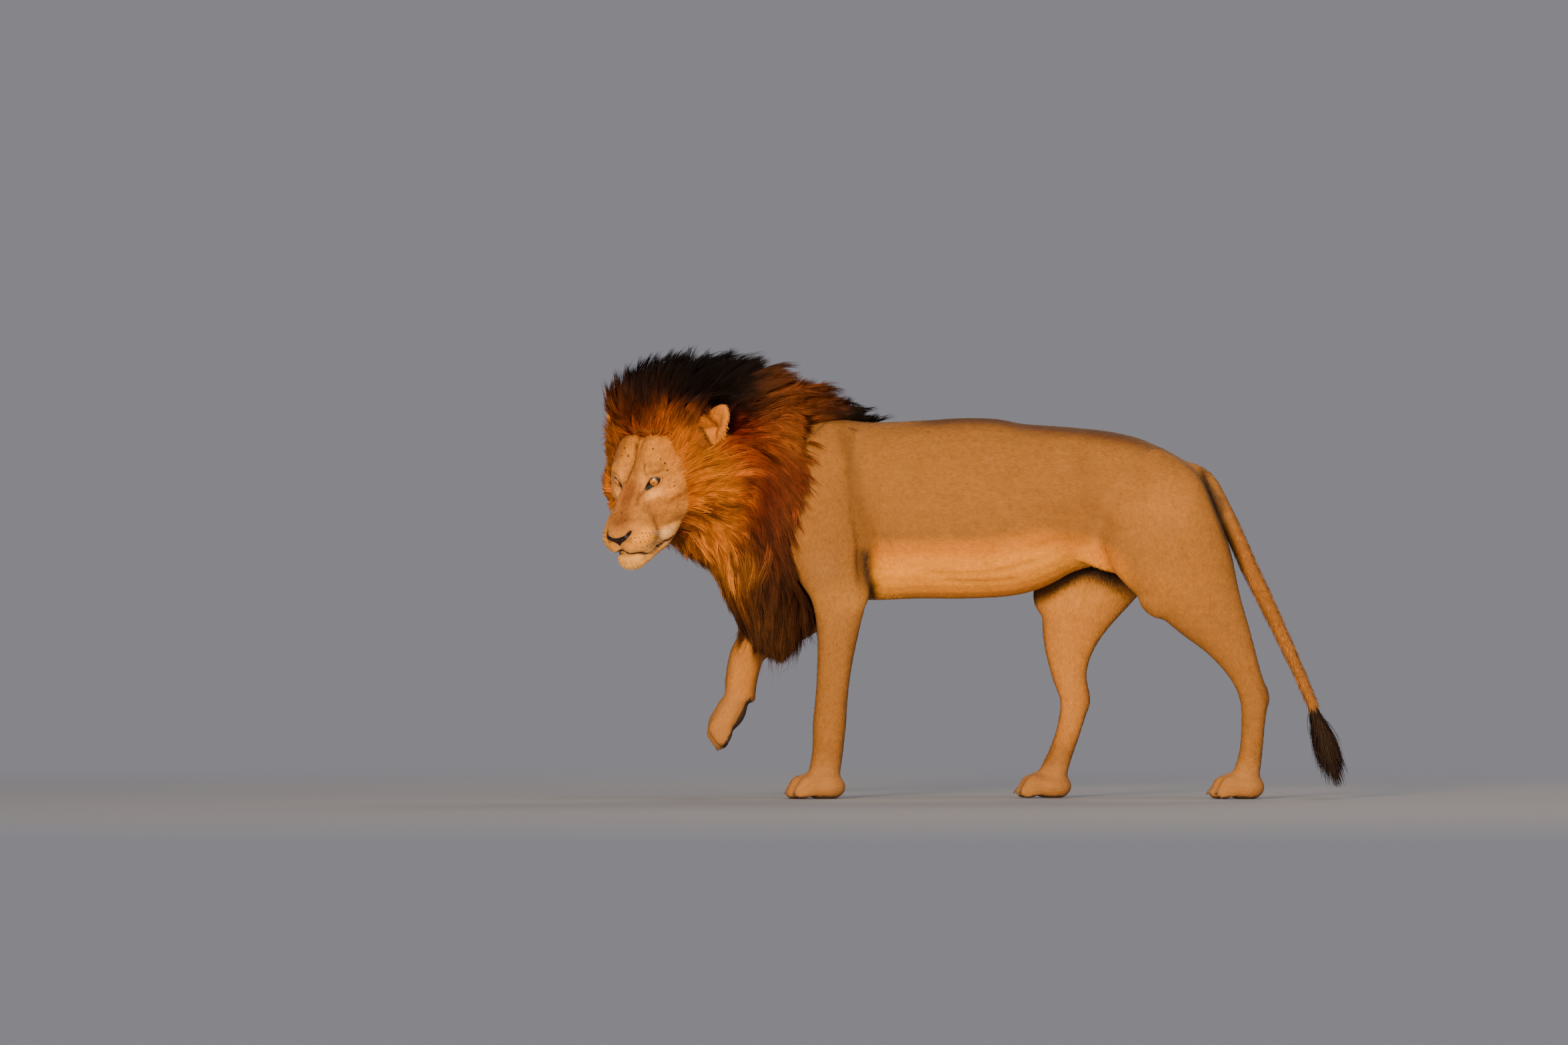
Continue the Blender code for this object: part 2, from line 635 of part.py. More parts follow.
def split_body(body):
    """The paws, the legs and the tail, parted from the trunk."""
    paw_cells = {
        "forepaw_left": box((-0.50, -0.20, -0.05), (-0.15, 0.04, 0.135)),
        "hindpaw_left": box((0.70, -0.25, -0.05), (1.00, -0.01, 0.150)),
        "hindpaw_right": box((0.15, 0.01, -0.05), (0.50, 0.25, 0.150)),
        "forepaw_right": box((-0.22, -0.10, -0.08), (0.020, 0.10, 0.12)),
    }
    paw_cells["forepaw_right"].data.transform(
        Matrix.Translation(FOREPAW_RIGHT_AT) @ Matrix.Rotation(FOREPAW_RIGHT_HANGS, 4, "Y")
    )
    nodes = [split(body, name, cell) for name, cell in paw_cells.items()]
    limbs = {
        "foreleg_left": (FORELEG_LEFT[2:], LEFT),
        "foreleg_right": (FORELEG_RIGHT[2:], RIGHT),
        "hindleg_left": (HINDLEG_LEFT[1:], LEFT),
        "hindleg_right": (HINDLEG_RIGHT[1:], RIGHT),
    }
    for name, (stations, side) in limbs.items():
        nodes.append(split(body, name, limb_cell(stations, side, LIMB_SPARE)))
    nodes.append(split(body, "tail_tuft", box((0.98, -0.10, 0.02), (1.20, 0.12, 0.262))))
    nodes.append(split(body, "tail", limb_cell(TAIL[1:], 0, TAIL_SPARE)))
    return nodes


CREST_CELL_UP, CREST_CELL_SIDE = 0.05, 0.06  # how far the crest's cell stands off it
CREST_CELL_DOWN = (0.06, 0.06, 0.06, 0.04) + (0.02,) * (len(CREST) - 4)  # how deep it reaches at each station


def split_mane(neck):
    """The crest, the chest's mane and the ruff, parted from the mane of the neck."""
    rows = [(x, y, z, up + CREST_CELL_UP, deep, half + CREST_CELL_SIDE)
            for (x, y, z, up, down, half), deep in zip(CREST, CREST_CELL_DOWN)]
    crest = split(neck, "mane_crest", loft(rows, steps=1, sides=12))
    chest = split(neck, "mane_chest", box((-0.90, -0.40, 0.30), (-0.20, 0.40, 0.700)))
    cell = mass((0.310, 0, 0.000), (0.170, 0.300, 0.280), detail=2)
    in_head_frame([cell])
    return [crest, chest, split(neck, "mane_ruff", cell)]


def make_lion():
    body = thinned(body_form(), BODY_FACES)
    floor = box((-2, -1, -1), (2, 1, 0))
    boolean(body, floor, "DIFFERENCE")
    bpy.data.objects.remove(floor)

    neck = thinned(fuse("neck", mane() + in_head_frame(ruff()), MANE_VOXEL, 8), MANE_FACES)
    head = head_form(HEAD_VOXEL, 16)
    front = box((-0.10, -0.20, -0.20), (HEAD_BACK, 0.20, 0.20))
    boolean(head, front, "INTERSECT")
    bpy.data.objects.remove(front)
    thinned(head, HEAD_FACES)
    ears = [thinned(ear(side), EAR_FACES) for side in (LEFT, RIGHT)]
    eyes = [eye(side) for side in (LEFT, RIGHT)]
    for side, ear_here, eye_here in zip(("left", "right"), ears, eyes):
        ear_here.name = "ear_" + side
        eye_here.name = "eye_" + side
    in_head_frame([head, *ears, *eyes])
    carve(body, neck)
    carve(neck, head, *ears)
    carve(head, *ears, *eyes)
    tip = mass((0.000, 0, -0.002), (0.022, 0.042, 0.020), detail=2)
    in_head_frame([tip])
    nose = split(head, "nose", tip)
    return [body, neck, head, nose, *ears, *eyes, *split_body(body), *split_mane(neck)]


LOOKS = {  # the material of each node that isn't plain coat
    "head": "face",
    "nose": "nose_leather",
    "eye_left": "eye",
    "eye_right": "eye",
    "neck": "russet_mane",
    "mane_ruff": "golden_mane",
    "mane_crest": "dark_mane",
    "mane_chest": "dark_mane",
    "tail_tuft": "dark_mane",
}


def material(node):
    """A Principled material of the node's own."""
    (red, green, blue), roughness = MATERIALS[LOOKS.get(node, "coat")]
    look = bpy.data.materials.new(node)
    look.use_nodes = True
    shader = look.node_tree.nodes["Principled BSDF"]
    shader.inputs["Base Color"].default_value = (red, green, blue, 1)
    shader.inputs["Roughness"].default_value = roughness
    shader.inputs["Metallic"].default_value = 0
    return look


def centre_on_floor(nodes):
    """Move the lion so that the middle of its box stands over the origin. Its soles already lie on Z = 0."""
    points = np.vstack([points_of(node) for node in nodes])
    middle = (points.min(0) + points.max(0)) / 2
    for node in nodes:
        set_points(node, points_of(node) - (middle[0], middle[1], 0))


def finish(nodes):
    for node in nodes:
        without_crumbs(node)
        node.data.materials.clear()
        node.data.materials.append(material(node.name))
        node.data.shade_smooth()
        node.data.set_sharp_from_angle(angle=SHARP)
    centre_on_floor(nodes)


if __name__ == "__main__":
    clear_scene()
    finish(make_lion())
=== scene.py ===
"""The looks of the lion: one skin with folds, lids and lips, a short coat, a mane, eyes, claws and whiskers.

Everything is modelled in the lion's own design frame, as the solids were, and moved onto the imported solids.
Metres, +Z up. The lion walks towards -X, so -Y is its left side, and the camera looks along +Y.
"""

import math

import bmesh
import bpy
import numpy as np
from mathutils import Matrix, Vector
from mathutils.bvhtree import BVHTree
from mathutils.kdtree import KDTree
from mathutils.noise import noise as noise_at


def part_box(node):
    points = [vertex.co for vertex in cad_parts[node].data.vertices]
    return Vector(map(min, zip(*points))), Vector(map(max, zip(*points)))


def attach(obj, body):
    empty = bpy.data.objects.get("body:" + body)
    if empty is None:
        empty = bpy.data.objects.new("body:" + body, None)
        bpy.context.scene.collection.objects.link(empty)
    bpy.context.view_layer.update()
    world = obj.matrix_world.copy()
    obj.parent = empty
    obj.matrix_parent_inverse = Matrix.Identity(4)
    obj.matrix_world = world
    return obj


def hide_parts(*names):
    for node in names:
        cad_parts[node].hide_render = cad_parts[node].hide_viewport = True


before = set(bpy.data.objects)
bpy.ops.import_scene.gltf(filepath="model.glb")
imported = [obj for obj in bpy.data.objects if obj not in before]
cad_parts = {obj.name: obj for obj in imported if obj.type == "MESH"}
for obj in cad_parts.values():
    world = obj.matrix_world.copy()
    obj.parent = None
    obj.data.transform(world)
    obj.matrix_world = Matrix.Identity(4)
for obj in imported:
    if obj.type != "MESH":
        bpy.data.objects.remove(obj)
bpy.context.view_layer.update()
RANDOM = np.random.default_rng(7)
SIDES = LEFT, RIGHT = -1, 1

# ---------------------------------------------------------------- driving sizes
SKIN_VOXEL, HEAD_VOXEL, MANE_VOXEL = 0.0074, 0.003, 0.012
COAT_DEPTH = 0.0035  # the short coat: the skin lies this far inside the solids
MANE_DEPTH = {"collar": 0.034, "crest": 0.048, "chest": 0.034, "ruff": 0.03}

HEAD_AT = Vector((-0.88, -0.3, 0.722))  # the tip of the nose
HEAD_TURN = math.radians(57)
HEAD_DOWN = math.radians(34)
HEAD_ROLL = math.radians(0.5)
HEAD_SCALE = 1.1
EYE_RADIUS = 0.019
EYE_AT = (0.148, 0.058, 0.068)
EYE_TURN = math.radians(24)
EYE_SUNK = 1.17  # how far the ball's middle lies behind that place, in its radii
EAR_AT = {LEFT: (0.352, 0.146, 0.08), RIGHT: (0.372, 0.134, 0.072)}  # the right one is laid back


# ---------------------------------------------------------------- modelling tools
def mesh_object(name, mesh):
    obj = bpy.data.objects.new(name, mesh)
    bpy.context.scene.collection.objects.link(obj)
    return obj


def object_of(name, bm):
    mesh = bpy.data.meshes.new(name)
    bm.to_mesh(mesh)
    bm.free()
    return mesh_object(name, mesh)


def remove(*objects):
    for obj in objects:
        bpy.data.objects.remove(obj)


def smooth_rows(rows, steps):
    """Rows of numbers from a smooth curve through them: a Catmull-Rom spline with steps points a span."""
    rows = np.array(rows, float)
    before = np.vstack([2 * rows[0] - rows[1], rows, 2 * rows[-1] - rows[-2]])
    out = []
    for i in range(len(rows) - 1):
        a, b, c, d = before[i : i + 4]
        bend, twist = 2 * a - 5 * b + 4 * c - d, 3 * b - a - 3 * c + d
        for t in np.arange(steps) / steps:
            out.append(0.5 * (2 * b + (c - a) * t + bend * t * t + twist * t**3))
    out.append(rows[-1])
    return np.array(out)


def loft(stations, steps=5, sides=32, squareness=2.3, depth=0.0):
    """A closed tube. A station is x, y, z, then the radii to the front, the back and either side."""
    rows = smooth_rows(stations, steps)
    rows[:, 3:6] = np.maximum(rows[:, 3:6] - depth, rows[:, 3:6] * 0.3)
    centres = rows[:, :3]
    tangents = np.gradient(centres, axis=0)
    bm = bmesh.new()
    rings = []
    for centre, tangent, (front, back, side) in zip(centres, tangents, rows[:, 3:6]):
        tangent = Vector(tangent).normalized()
        forward = Vector((0, 1, 0)).cross(tangent).normalized()
        across = tangent.cross(forward)
        ring = []
        for k in range(sides):
            angle = 2 * math.pi * k / sides
            c, s = math.cos(angle), math.sin(angle)
            c = math.copysign(abs(c) ** (2 / squareness), c)
            s = math.copysign(abs(s) ** (2 / squareness), s)
            reach = front if c > 0 else back
            ring.append(bm.verts.new(Vector(centre) + forward * (c * reach) + across * (s * side)))
        rings.append(ring)
    for one, other in zip(rings, rings[1:]):
        for k in range(sides):
            bm.faces.new((one[k], one[(k + 1) % sides], other[(k + 1) % sides], other[k]))
    bm.faces.new(rings[0][::-1])
    bm.faces.new(rings[-1])
    bmesh.ops.recalc_face_normals(bm, faces=bm.faces)
    return object_of("loft", bm)


def mass(centre, radii, turn=(0, 0, 0), detail=4, depth=0.0):
    """An ellipsoid. turn is in degrees, about X, Y and Z."""
    bm = bmesh.new()
    bmesh.ops.create_icosphere(bm, subdivisions=detail, radius=1)
    about_x, about_y, about_z = (Matrix.Rotation(math.radians(a), 4, axis) for a, axis in zip(turn, "XYZ"))
    spin = about_z @ about_y @ about_x
    size = [max(r - depth, 0.3 * r) for r in radii]
    bm.transform(Matrix.Translation(Vector(centre)) @ spin @ Matrix.Diagonal((*size, 1)))
    return object_of("mass", bm)


def pair(centre, radii, turn=(0, 0, 0), depth=0.0):
    """A mass on either side. The centre is the right one's, with Y to the right."""
    x, y, z = centre
    a, b, c = turn
    return [mass((x, side * y, z), radii, (side * a, b, side * c), depth=depth) for side in (RIGHT, LEFT)]


def apply_modifiers(obj):
    graph = bpy.context.evaluated_depsgraph_get()
    mesh = bpy.data.meshes.new_from_object(obj.evaluated_get(graph), depsgraph=graph)
    obj.modifiers.clear()
    old, obj.data = obj.data, mesh
    bpy.data.meshes.remove(old)
    return obj


def join(name, objects):
    bm = bmesh.new()
    for obj in objects:
        mesh = obj.data
        mesh.transform(obj.matrix_world)
        bm.from_mesh(mesh)
        bpy.data.objects.remove(obj)
        bpy.data.meshes.remove(mesh)
    return object_of(name, bm)


def fuse(name, objects, voxel, rounds):
    """One skin round all of them. rounds is how often the creases where they meet are smoothed."""
    obj = join(name, objects)
    remesh = obj.modifiers.new("skin", "REMESH")
    remesh.mode = "VOXEL"
    remesh.voxel_size = voxel
    if rounds:
        soften = obj.modifiers.new("soften", "SMOOTH")
        soften.factor = 0.5
        soften.iterations = rounds
    return apply_modifiers(obj)


def boolean(obj, other, operation):
    step = obj.modifiers.new("step", "BOOLEAN")
    step.operation = operation
    step.solver = "MANIFOLD"
    step.object = other
    apply_modifiers(obj)
    remove(other)
    return obj


def read_out(items, key, width, kind=np.float32):
    """The values of a Blender collection, as rows of width numbers."""
    found = np.empty(len(items) * width, kind)
    items.foreach_get(key, found)
    return found.reshape(-1, width)


def points_of(obj):
    return read_out(obj.data.vertices, "co", 3).astype(float)


def normals_of(obj):
    return read_out(obj.data.vertices, "normal", 3).astype(float)


def set_points(obj, points):
    obj.data.vertices.foreach_set("co", points.astype(np.float32).ravel())
    obj.data.update()


def moved(points, matrix):
    """Points sent through a 4 x 4 matrix."""
    matrix = np.array(matrix)
    return points @ matrix[:3, :3].T + matrix[:3, 3]


def turned_by(ways, matrix):
    """Directions sent through a 4 x 4 matrix, without its shift."""
    return ways @ np.array(matrix)[:3, :3].T


def raise_skin(obj, heights):
    """Move each vertex out along its normal, by a height of its own or by the same one."""
    set_points(obj, points_of(obj) + normals_of(obj) * np.reshape(heights, (-1, 1)))


def unit(vectors):
    return vectors / np.maximum(np.linalg.norm(vectors, axis=-1, keepdims=True), 1e-9)


def ramp(values, low, high):
    """0 below low, 1 above high, and smooth between. low may be the larger."""
    t = np.clip((values - low) / (high - low), 0, 1)
    return t * t * (3 - 2 * t)


def near(points, centre, radii):
    """1 at the centre, falling softly to nothing a few radii away."""
    away = (points - np.array(centre)) / np.array(radii)
    return np.exp(-(away**2).sum(-1))


def bell(gap, width, power=2):
    """1 at no gap, falling away softly at about the width. A higher power makes the edge crisper."""
    return np.exp(-((gap / width) ** power))


def within(points, centre, radius):
    """True where a point is nearer to the centre than the radius."""
    return np.linalg.norm(points - centre, axis=1) < radius


def distance_to_path(points, path):
    """How far each point is from a line through the path's points, and how far along it, from 0 to 1."""
    path = smooth_rows(path, 4)
    best = np.full(len(points), 9.0)
    along = np.zeros(len(points))
    for i, (a, b) in enumerate(zip(path, path[1:])):
        span = b - a
        t = np.clip(((points - a) @ span) / (span @ span), 0, 1)
        gap = np.linalg.norm(points - (a + t[:, None] * span), axis=1)
        closer = gap < best
        best = np.where(closer, gap, best)
        along = np.where(closer, (i + t) / (len(path) - 1), along)
    return best, along


def on_flanks(points, path):
    """distance_to_path for a line in x and z, which runs over both flanks alike."""
    return distance_to_path(points * (1, 0, 1), [(x, 0, z) for x, z in path])


def beside(points, path, axis):
    """How far each point is from a line along one axis alone, and how far in all."""
    gap, along = distance_to_path(points, path)
    line = smooth_rows(path, 4)
    return np.abs(points[:, axis] - np.interp(along, np.linspace(0, 1, len(line)), line[:, axis])), gap


# ---------------------------------------------------------------- the body's forms
def trunk():
    """From the rump to the chest: x, y, middle z, then up, down and half-width."""
    stations = [
        (0.8, 0, 0.79, 0.04, 0.06, 0.045),
        (0.755, 0, 0.8, 0.08, 0.1, 0.1),
        (0.68, 0, 0.81, 0.135, 0.13, 0.135),
        (0.58, 0, 0.82, 0.175, 0.15, 0.15),
        (0.47, 0, 0.83, 0.196, 0.18, 0.158),
        (0.36, 0, 0.82, 0.222, 0.196, 0.175),
        (0.23, 0, 0.8, 0.256, 0.236, 0.19),
        (0.1, 0, 0.8, 0.264, 0.248, 0.194),
        (-0.04, 0, 0.8, 0.256, 0.248, 0.19),
        (-0.18, 0, 0.8, 0.25, 0.252, 0.178),
        (-0.3, 0, 0.8, 0.262, 0.24, 0.16),
        (-0.42, 0, 0.815, 0.235, 0.215, 0.135),
        (-0.5, 0, 0.84, 0.16, 0.15, 0.095),
    ]
    return loft(stations, squareness=2.15)


FORELEG_LEFT = [  # the leg that carries: x, outwards, z, then front, back and side
    (-0.258, 0.07, 1.03, 0.05, 0.045, 0.04),
    (-0.28, 0.105, 0.94, 0.11, 0.085, 0.055),
    (-0.305, 0.128, 0.84, 0.135, 0.1, 0.065),
    (-0.31, 0.135, 0.74, 0.125, 0.112, 0.068),
    (-0.29, 0.13, 0.65, 0.1, 0.112, 0.064),
    (-0.268, 0.122, 0.57, 0.078, 0.094, 0.056),
    (-0.262, 0.112, 0.48, 0.066, 0.062, 0.052),
    (-0.272, 0.098, 0.38, 0.054, 0.05, 0.046),
    (-0.282, 0.084, 0.28, 0.049, 0.047, 0.046),
    (-0.288, 0.075, 0.21, 0.05, 0.049, 0.049),
    (-0.296, 0.07, 0.13, 0.044, 0.048, 0.048),
    (-0.306, 0.066, 0.07, 0.044, 0.05, 0.05),
]
FORELEG_RIGHT = [  # the lifted leg
    (-0.27, 0.07, 1.03, 0.05, 0.045, 0.04),
    (-0.31, 0.105, 0.94, 0.105, 0.09, 0.055),
    (-0.35, 0.128, 0.85, 0.12, 0.105, 0.065),
    (-0.365, 0.138, 0.75, 0.105, 0.12, 0.068),
    (-0.335, 0.14, 0.655, 0.09, 0.115, 0.064),
    (-0.32, 0.138, 0.575, 0.075, 0.09, 0.058),
    (-0.375, 0.135, 0.5, 0.066, 0.064, 0.052),
    (-0.445, 0.13, 0.455, 0.052, 0.05, 0.047),
    (-0.508, 0.125, 0.413, 0.049, 0.047, 0.046),
    (-0.532, 0.122, 0.34, 0.045, 0.045, 0.047),
    (-0.54, 0.12, 0.27, 0.04, 0.044, 0.048),
]
HINDLEG_LEFT = [  # the leg that pushes off
    (0.54, 0.075, 0.93, 0.095, 0.1, 0.05),
    (0.59, 0.112, 0.83, 0.16, 0.16, 0.075),
    (0.64, 0.125, 0.72, 0.17, 0.165, 0.082),
    (0.695, 0.125, 0.62, 0.14, 0.15, 0.076),
    (0.75, 0.12, 0.53, 0.105, 0.115, 0.062),
    (0.81, 0.115, 0.44, 0.068, 0.078, 0.048),
    (0.858, 0.11, 0.35, 0.043, 0.052, 0.038),
    (0.885, 0.105, 0.28, 0.04, 0.044, 0.036),
    (0.886, 0.102, 0.21, 0.036, 0.036, 0.034),
    (0.88, 0.1, 0.13, 0.036, 0.035, 0.036),
    (0.868, 0.098, 0.07, 0.04, 0.04, 0.042),
]
HINDLEG_RIGHT = [  # the leg that has stepped forwards
    (0.55, 0.075, 0.93, 0.11, 0.09, 0.05),
    (0.54, 0.112, 0.83, 0.165, 0.15, 0.075),
    (0.5, 0.125, 0.72, 0.165, 0.16, 0.082),
    (0.445, 0.128, 0.62, 0.135, 0.14, 0.074),
    (0.405, 0.125, 0.53, 0.108, 0.112, 0.062),
    (0.382, 0.118, 0.44, 0.08, 0.08, 0.05),
    (0.38, 0.11, 0.35, 0.055, 0.052, 0.04),
    (0.392, 0.104, 0.275, 0.042, 0.046, 0.037),
    (0.38, 0.1, 0.2, 0.037, 0.038, 0.034),
    (0.358, 0.098, 0.13, 0.037, 0.036, 0.036),
    (0.335, 0.096, 0.07, 0.042, 0.042, 0.042),
]


def leg(stations, side):
    return loft([(x, side * out, z, front, back, wide) for x, out, z, front, back, wide in stations])


TOES = 4
FOREPAW = (0.168, 0.134)  # length and width
HINDPAW = (0.158, 0.12)
PAWS = (  # heel, side, length and width, pitch
    (Vector((-0.25, -0.064, -0.003)), LEFT, FOREPAW, 0.0),
    (Vector((0.912, -0.1, -0.003)), LEFT, HINDPAW, 0.0),
    (Vector((0.38, 0.096, -0.003)), RIGHT, HINDPAW, 0.0),
    (Vector((-0.508, 0.12, 0.268)), RIGHT, FOREPAW, math.radians(-62)),
)


def toe_places(side, length, width):
    """Each toe in the paw's own frame: reach ahead of the heel, place across, and spread from -1 to 1."""
    for k in range(TOES):
        spread = (k - 1.5) / 1.5
        yield length * (0.8 - 0.11 * spread**2 - 0.03 * spread * side), spread * width * 0.34, spread


def paw_place(heel, pitch):
    return Matrix.Translation(heel) @ Matrix.Rotation(pitch, 4, "Y")


def paw(heel, side, size, pitch):
    """A palm and four toes that point forwards. heel is the middle of the palm's back, on the sole."""
    length, width = size
    parts = [
        mass((-length * 0.3, 0, 0.036), (length * 0.36, width * 0.44, 0.042)),
        mass((-length * 0.52, 0, 0.042), (length * 0.3, width * 0.42, 0.038)),
    ]
    for reach, across, spread in toe_places(side, length, width):
        knuckle, tip = (-reach + 0.018, across, 0.038), (-reach - 0.002, across * 1.04, 0.022)
        parts.append(mass(knuckle, (0.036, width * 0.15, 0.034), (0, 12, -8 * spread)))
        parts.append(mass(tip, (0.026, width * 0.138, 0.024), (0, 0, -8 * spread)))
    for part in parts:
        part.data.transform(paw_place(heel, pitch))
    return parts


def muscles():
    """What the lofts leave out: hocks, elbows, the flank folds, the knees and the scrotum."""
    return [
        mass((0.905, -0.104, 0.298), (0.026, 0.024, 0.05), (0, -20, 0)),  # left hock
        mass((0.415, 0.103, 0.285), (0.026, 0.024, 0.05), (0, -10, 0)),
        mass((0.64, -0.13, 0.575), (0.08, 0.052, 0.08), (0, 40, 0)),  # left knee
        mass((0.35, 0.13, 0.565), (0.075, 0.052, 0.08)),
        mass((-0.205, -0.125, 0.59), (0.04, 0.036, 0.06)),  # left elbow
        mass((-0.262, 0.133, 0.59), (0.04, 0.036, 0.06)),
        mass((0.46, -0.095, 0.725), (0.17, 0.045, 0.085), (0, 24, 0)),  # left flank fold
        mass((0.39, 0.095, 0.72), (0.13, 0.045, 0.09), (0, 20, 0)),
        mass((0.735, 0.0, 0.68), (0.034, 0.04, 0.046)),  # scrotum
    ]


TAIL = [  # x, y, z, then top, underside and side
    (0.67, 0.0, 0.89, 0.04, 0.06, 0.05),
    (0.745, 0.0, 0.872, 0.038, 0.046, 0.04),
    (0.81, 0.0, 0.785, 0.03, 0.03, 0.029),
    (0.862, 0.0, 0.675, 0.026, 0.026, 0.026),
    (0.92, 0.0, 0.555, 0.024, 0.024, 0.024),
    (0.972, 0.0, 0.445, 0.021, 0.021, 0.021),
    (1.02, 0.004, 0.34, 0.018, 0.018, 0.018),
    (1.058, 0.008, 0.25, 0.017, 0.017, 0.017),
]
TAIL_TUFT = [
    (1.05, 0.007, 0.27, 0.018, 0.018, 0.018),
    (1.072, 0.01, 0.215, 0.034, 0.034, 0.032),
    (1.094, 0.013, 0.15, 0.037, 0.037, 0.034),
    (1.112, 0.015, 0.095, 0.018, 0.018, 0.016),
    (1.118, 0.016, 0.07, 0.005, 0.005, 0.005),
]
COLLAR = [
    (-0.315, 0.0, 0.85, 0.19, 0.23, 0.15),
    (-0.362, 0.0, 0.84, 0.24, 0.32, 0.207),
    (-0.43, 0.01, 0.845, 0.31, 0.31, 0.222),
    (-0.52, 0.018, 0.875, 0.3, 0.27, 0.208),
    (-0.61, 0.022, 0.915, 0.26, 0.26, 0.174),
    (-0.69, 0.018, 0.95, 0.215, 0.23, 0.138),
    (-0.76, 0.015, 0.975, 0.165, 0.17, 0.1),
    (-0.81, 0.01, 0.99, 0.09, 0.09, 0.05),
]
CREST = [
    (-0.165, 0.0, 1.045, 0.015, 0.03, 0.015),
    (-0.2, 0.0, 1.06, 0.052, 0.06, 0.04),
    (-0.28, 0.0, 1.075, 0.078, 0.08, 0.062),
    (-0.38, 0.0, 1.09, 0.09, 0.1, 0.08),
    (-0.48, 0.0, 1.105, 0.098, 0.12, 0.095),
    (-0.58, 0.0, 1.12, 0.104, 0.12, 0.105),
    (-0.66, -0.02, 1.125, 0.1, 0.12, 0.11),
    (-0.73, -0.065, 1.12, 0.098, 0.12, 0.115),
    (-0.8, -0.125, 1.105, 0.09, 0.12, 0.115),
    (-0.85, -0.175, 1.085, 0.08, 0.1, 0.1),
    (-0.885, -0.21, 1.065, 0.045, 0.06, 0.06),
]
CHEST = [
    (-0.5, 0.0, 0.8, 0.17, 0.12, 0.19),
    (-0.49, 0.0, 0.7, 0.15, 0.14, 0.172),
    (-0.475, 0.0, 0.6, 0.12, 0.13, 0.142),
    (-0.445, 0.0, 0.51, 0.1, 0.1, 0.108),
    (-0.425, 0.0, 0.45, 0.08, 0.078, 0.076),
    (-0.415, 0.0, 0.418, 0.045, 0.048, 0.045),
]


def mane_core():
    """The flesh and felted under-hair of the neck: the mane's solids, less the depth of its locks."""
    far_side = mass((-0.77, 0.08, 0.88), (0.12, 0.09, 0.15), depth=MANE_DEPTH["ruff"])
    depth = MANE_DEPTH["ruff"] / HEAD_SCALE
    ruff = [
        mass((0.305, 0, 0.03), (0.08, 0.19, 0.185), depth=depth),
        mass((0.345, 0, 0.005), (0.09, 0.218, 0.2), depth=depth),
        mass((0.275, 0, 0.165), (0.06, 0.11, 0.06), (0, -15, 0), depth=depth),
        *pair((0.325, 0.155, -0.06), (0.085, 0.085, 0.13), (20, 0, 0), depth=depth),
        mass((0.275, 0, -0.125), (0.08, 0.1, 0.06), depth=depth),
    ]
    in_head_frame(ruff)
    parts = [
        loft(COLLAR, squareness=2.2, depth=MANE_DEPTH["collar"]),
        loft(CREST, squareness=2.0, depth=MANE_DEPTH["crest"]),
        loft(CHEST, depth=MANE_DEPTH["chest"]),
    ]
    return fuse("mane_core", [*parts, far_side, *ruff], MANE_VOXEL, 6)


# ---------------------------------------------------------------- the head's forms, in its own frame
def head_pose():
    """The head's frame is placed by its nose: -X ahead, -Y to its left, +Z up."""
    turn = Matrix.Rotation(HEAD_TURN, 4, "Z")
    down = Matrix.Rotation(-HEAD_DOWN, 4, "Y")
    roll = Matrix.Rotation(HEAD_ROLL, 4, "X")
    return Matrix.Translation(HEAD_AT) @ turn @ down @ roll @ Matrix.Scale(HEAD_SCALE, 4)


HEAD_POSE = head_pose()
TO_HEAD = HEAD_POSE.inverted()


def in_head_frame(objects):
    for obj in objects:
        obj.data.transform(HEAD_POSE)
    return objects


def to_head(points):
    return moved(points, TO_HEAD)


def skull():
    """From the back of the head to between the eyes: x, y, middle z, then up, down and half-width."""
    stations = [
        (0.4, 0, 0.02, 0.06, 0.05, 0.055),
        (0.365, 0, 0.022, 0.108, 0.098, 0.098),
        (0.315, 0, 0.02, 0.132, 0.122, 0.12),
        (0.265, 0, 0.012, 0.136, 0.122, 0.124),
        (0.215, 0, 0.002, 0.122, 0.108, 0.11),
        (0.165, 0, -0.006, 0.098, 0.09, 0.078),
        (0.115, 0, -0.014, 0.068, 0.076, 0.05),
        (0.08, 0, -0.018, 0.045, 0.05, 0.035),
    ]
    return loft(stations, squareness=2.4)


def muzzle():
    stations = [
        (0.23, 0, -0.002, 0.11, 0.066, 0.062),
        (0.165, 0, -0.006, 0.098, 0.062, 0.052),
        (0.11, 0, -0.011, 0.074, 0.052, 0.053),
        (0.065, 0, -0.016, 0.056, 0.042, 0.058),
        (0.035, 0, -0.018, 0.042, 0.036, 0.052),
        (0.014, 0, -0.018, 0.032, 0.028, 0.036),
        (0.008, 0, -0.018, 0.02, 0.016, 0.022),
    ]
    return loft(stations, squareness=3.0)


def jaw():
    stations = [
        (0.29, 0, -0.04, 0.05, 0.07, 0.09),
        (0.22, 0, -0.06, 0.056, 0.05, 0.078),
        (0.15, 0, -0.074, 0.05, 0.034, 0.06),
        (0.09, 0, -0.078, 0.044, 0.028, 0.048),
        (0.052, 0, -0.078, 0.042, 0.026, 0.044),
        (0.028, 0, -0.074, 0.034, 0.026, 0.036),
        (0.015, 0, -0.072, 0.02, 0.018, 0.022),
    ]
    return loft(stations, squareness=2.4)


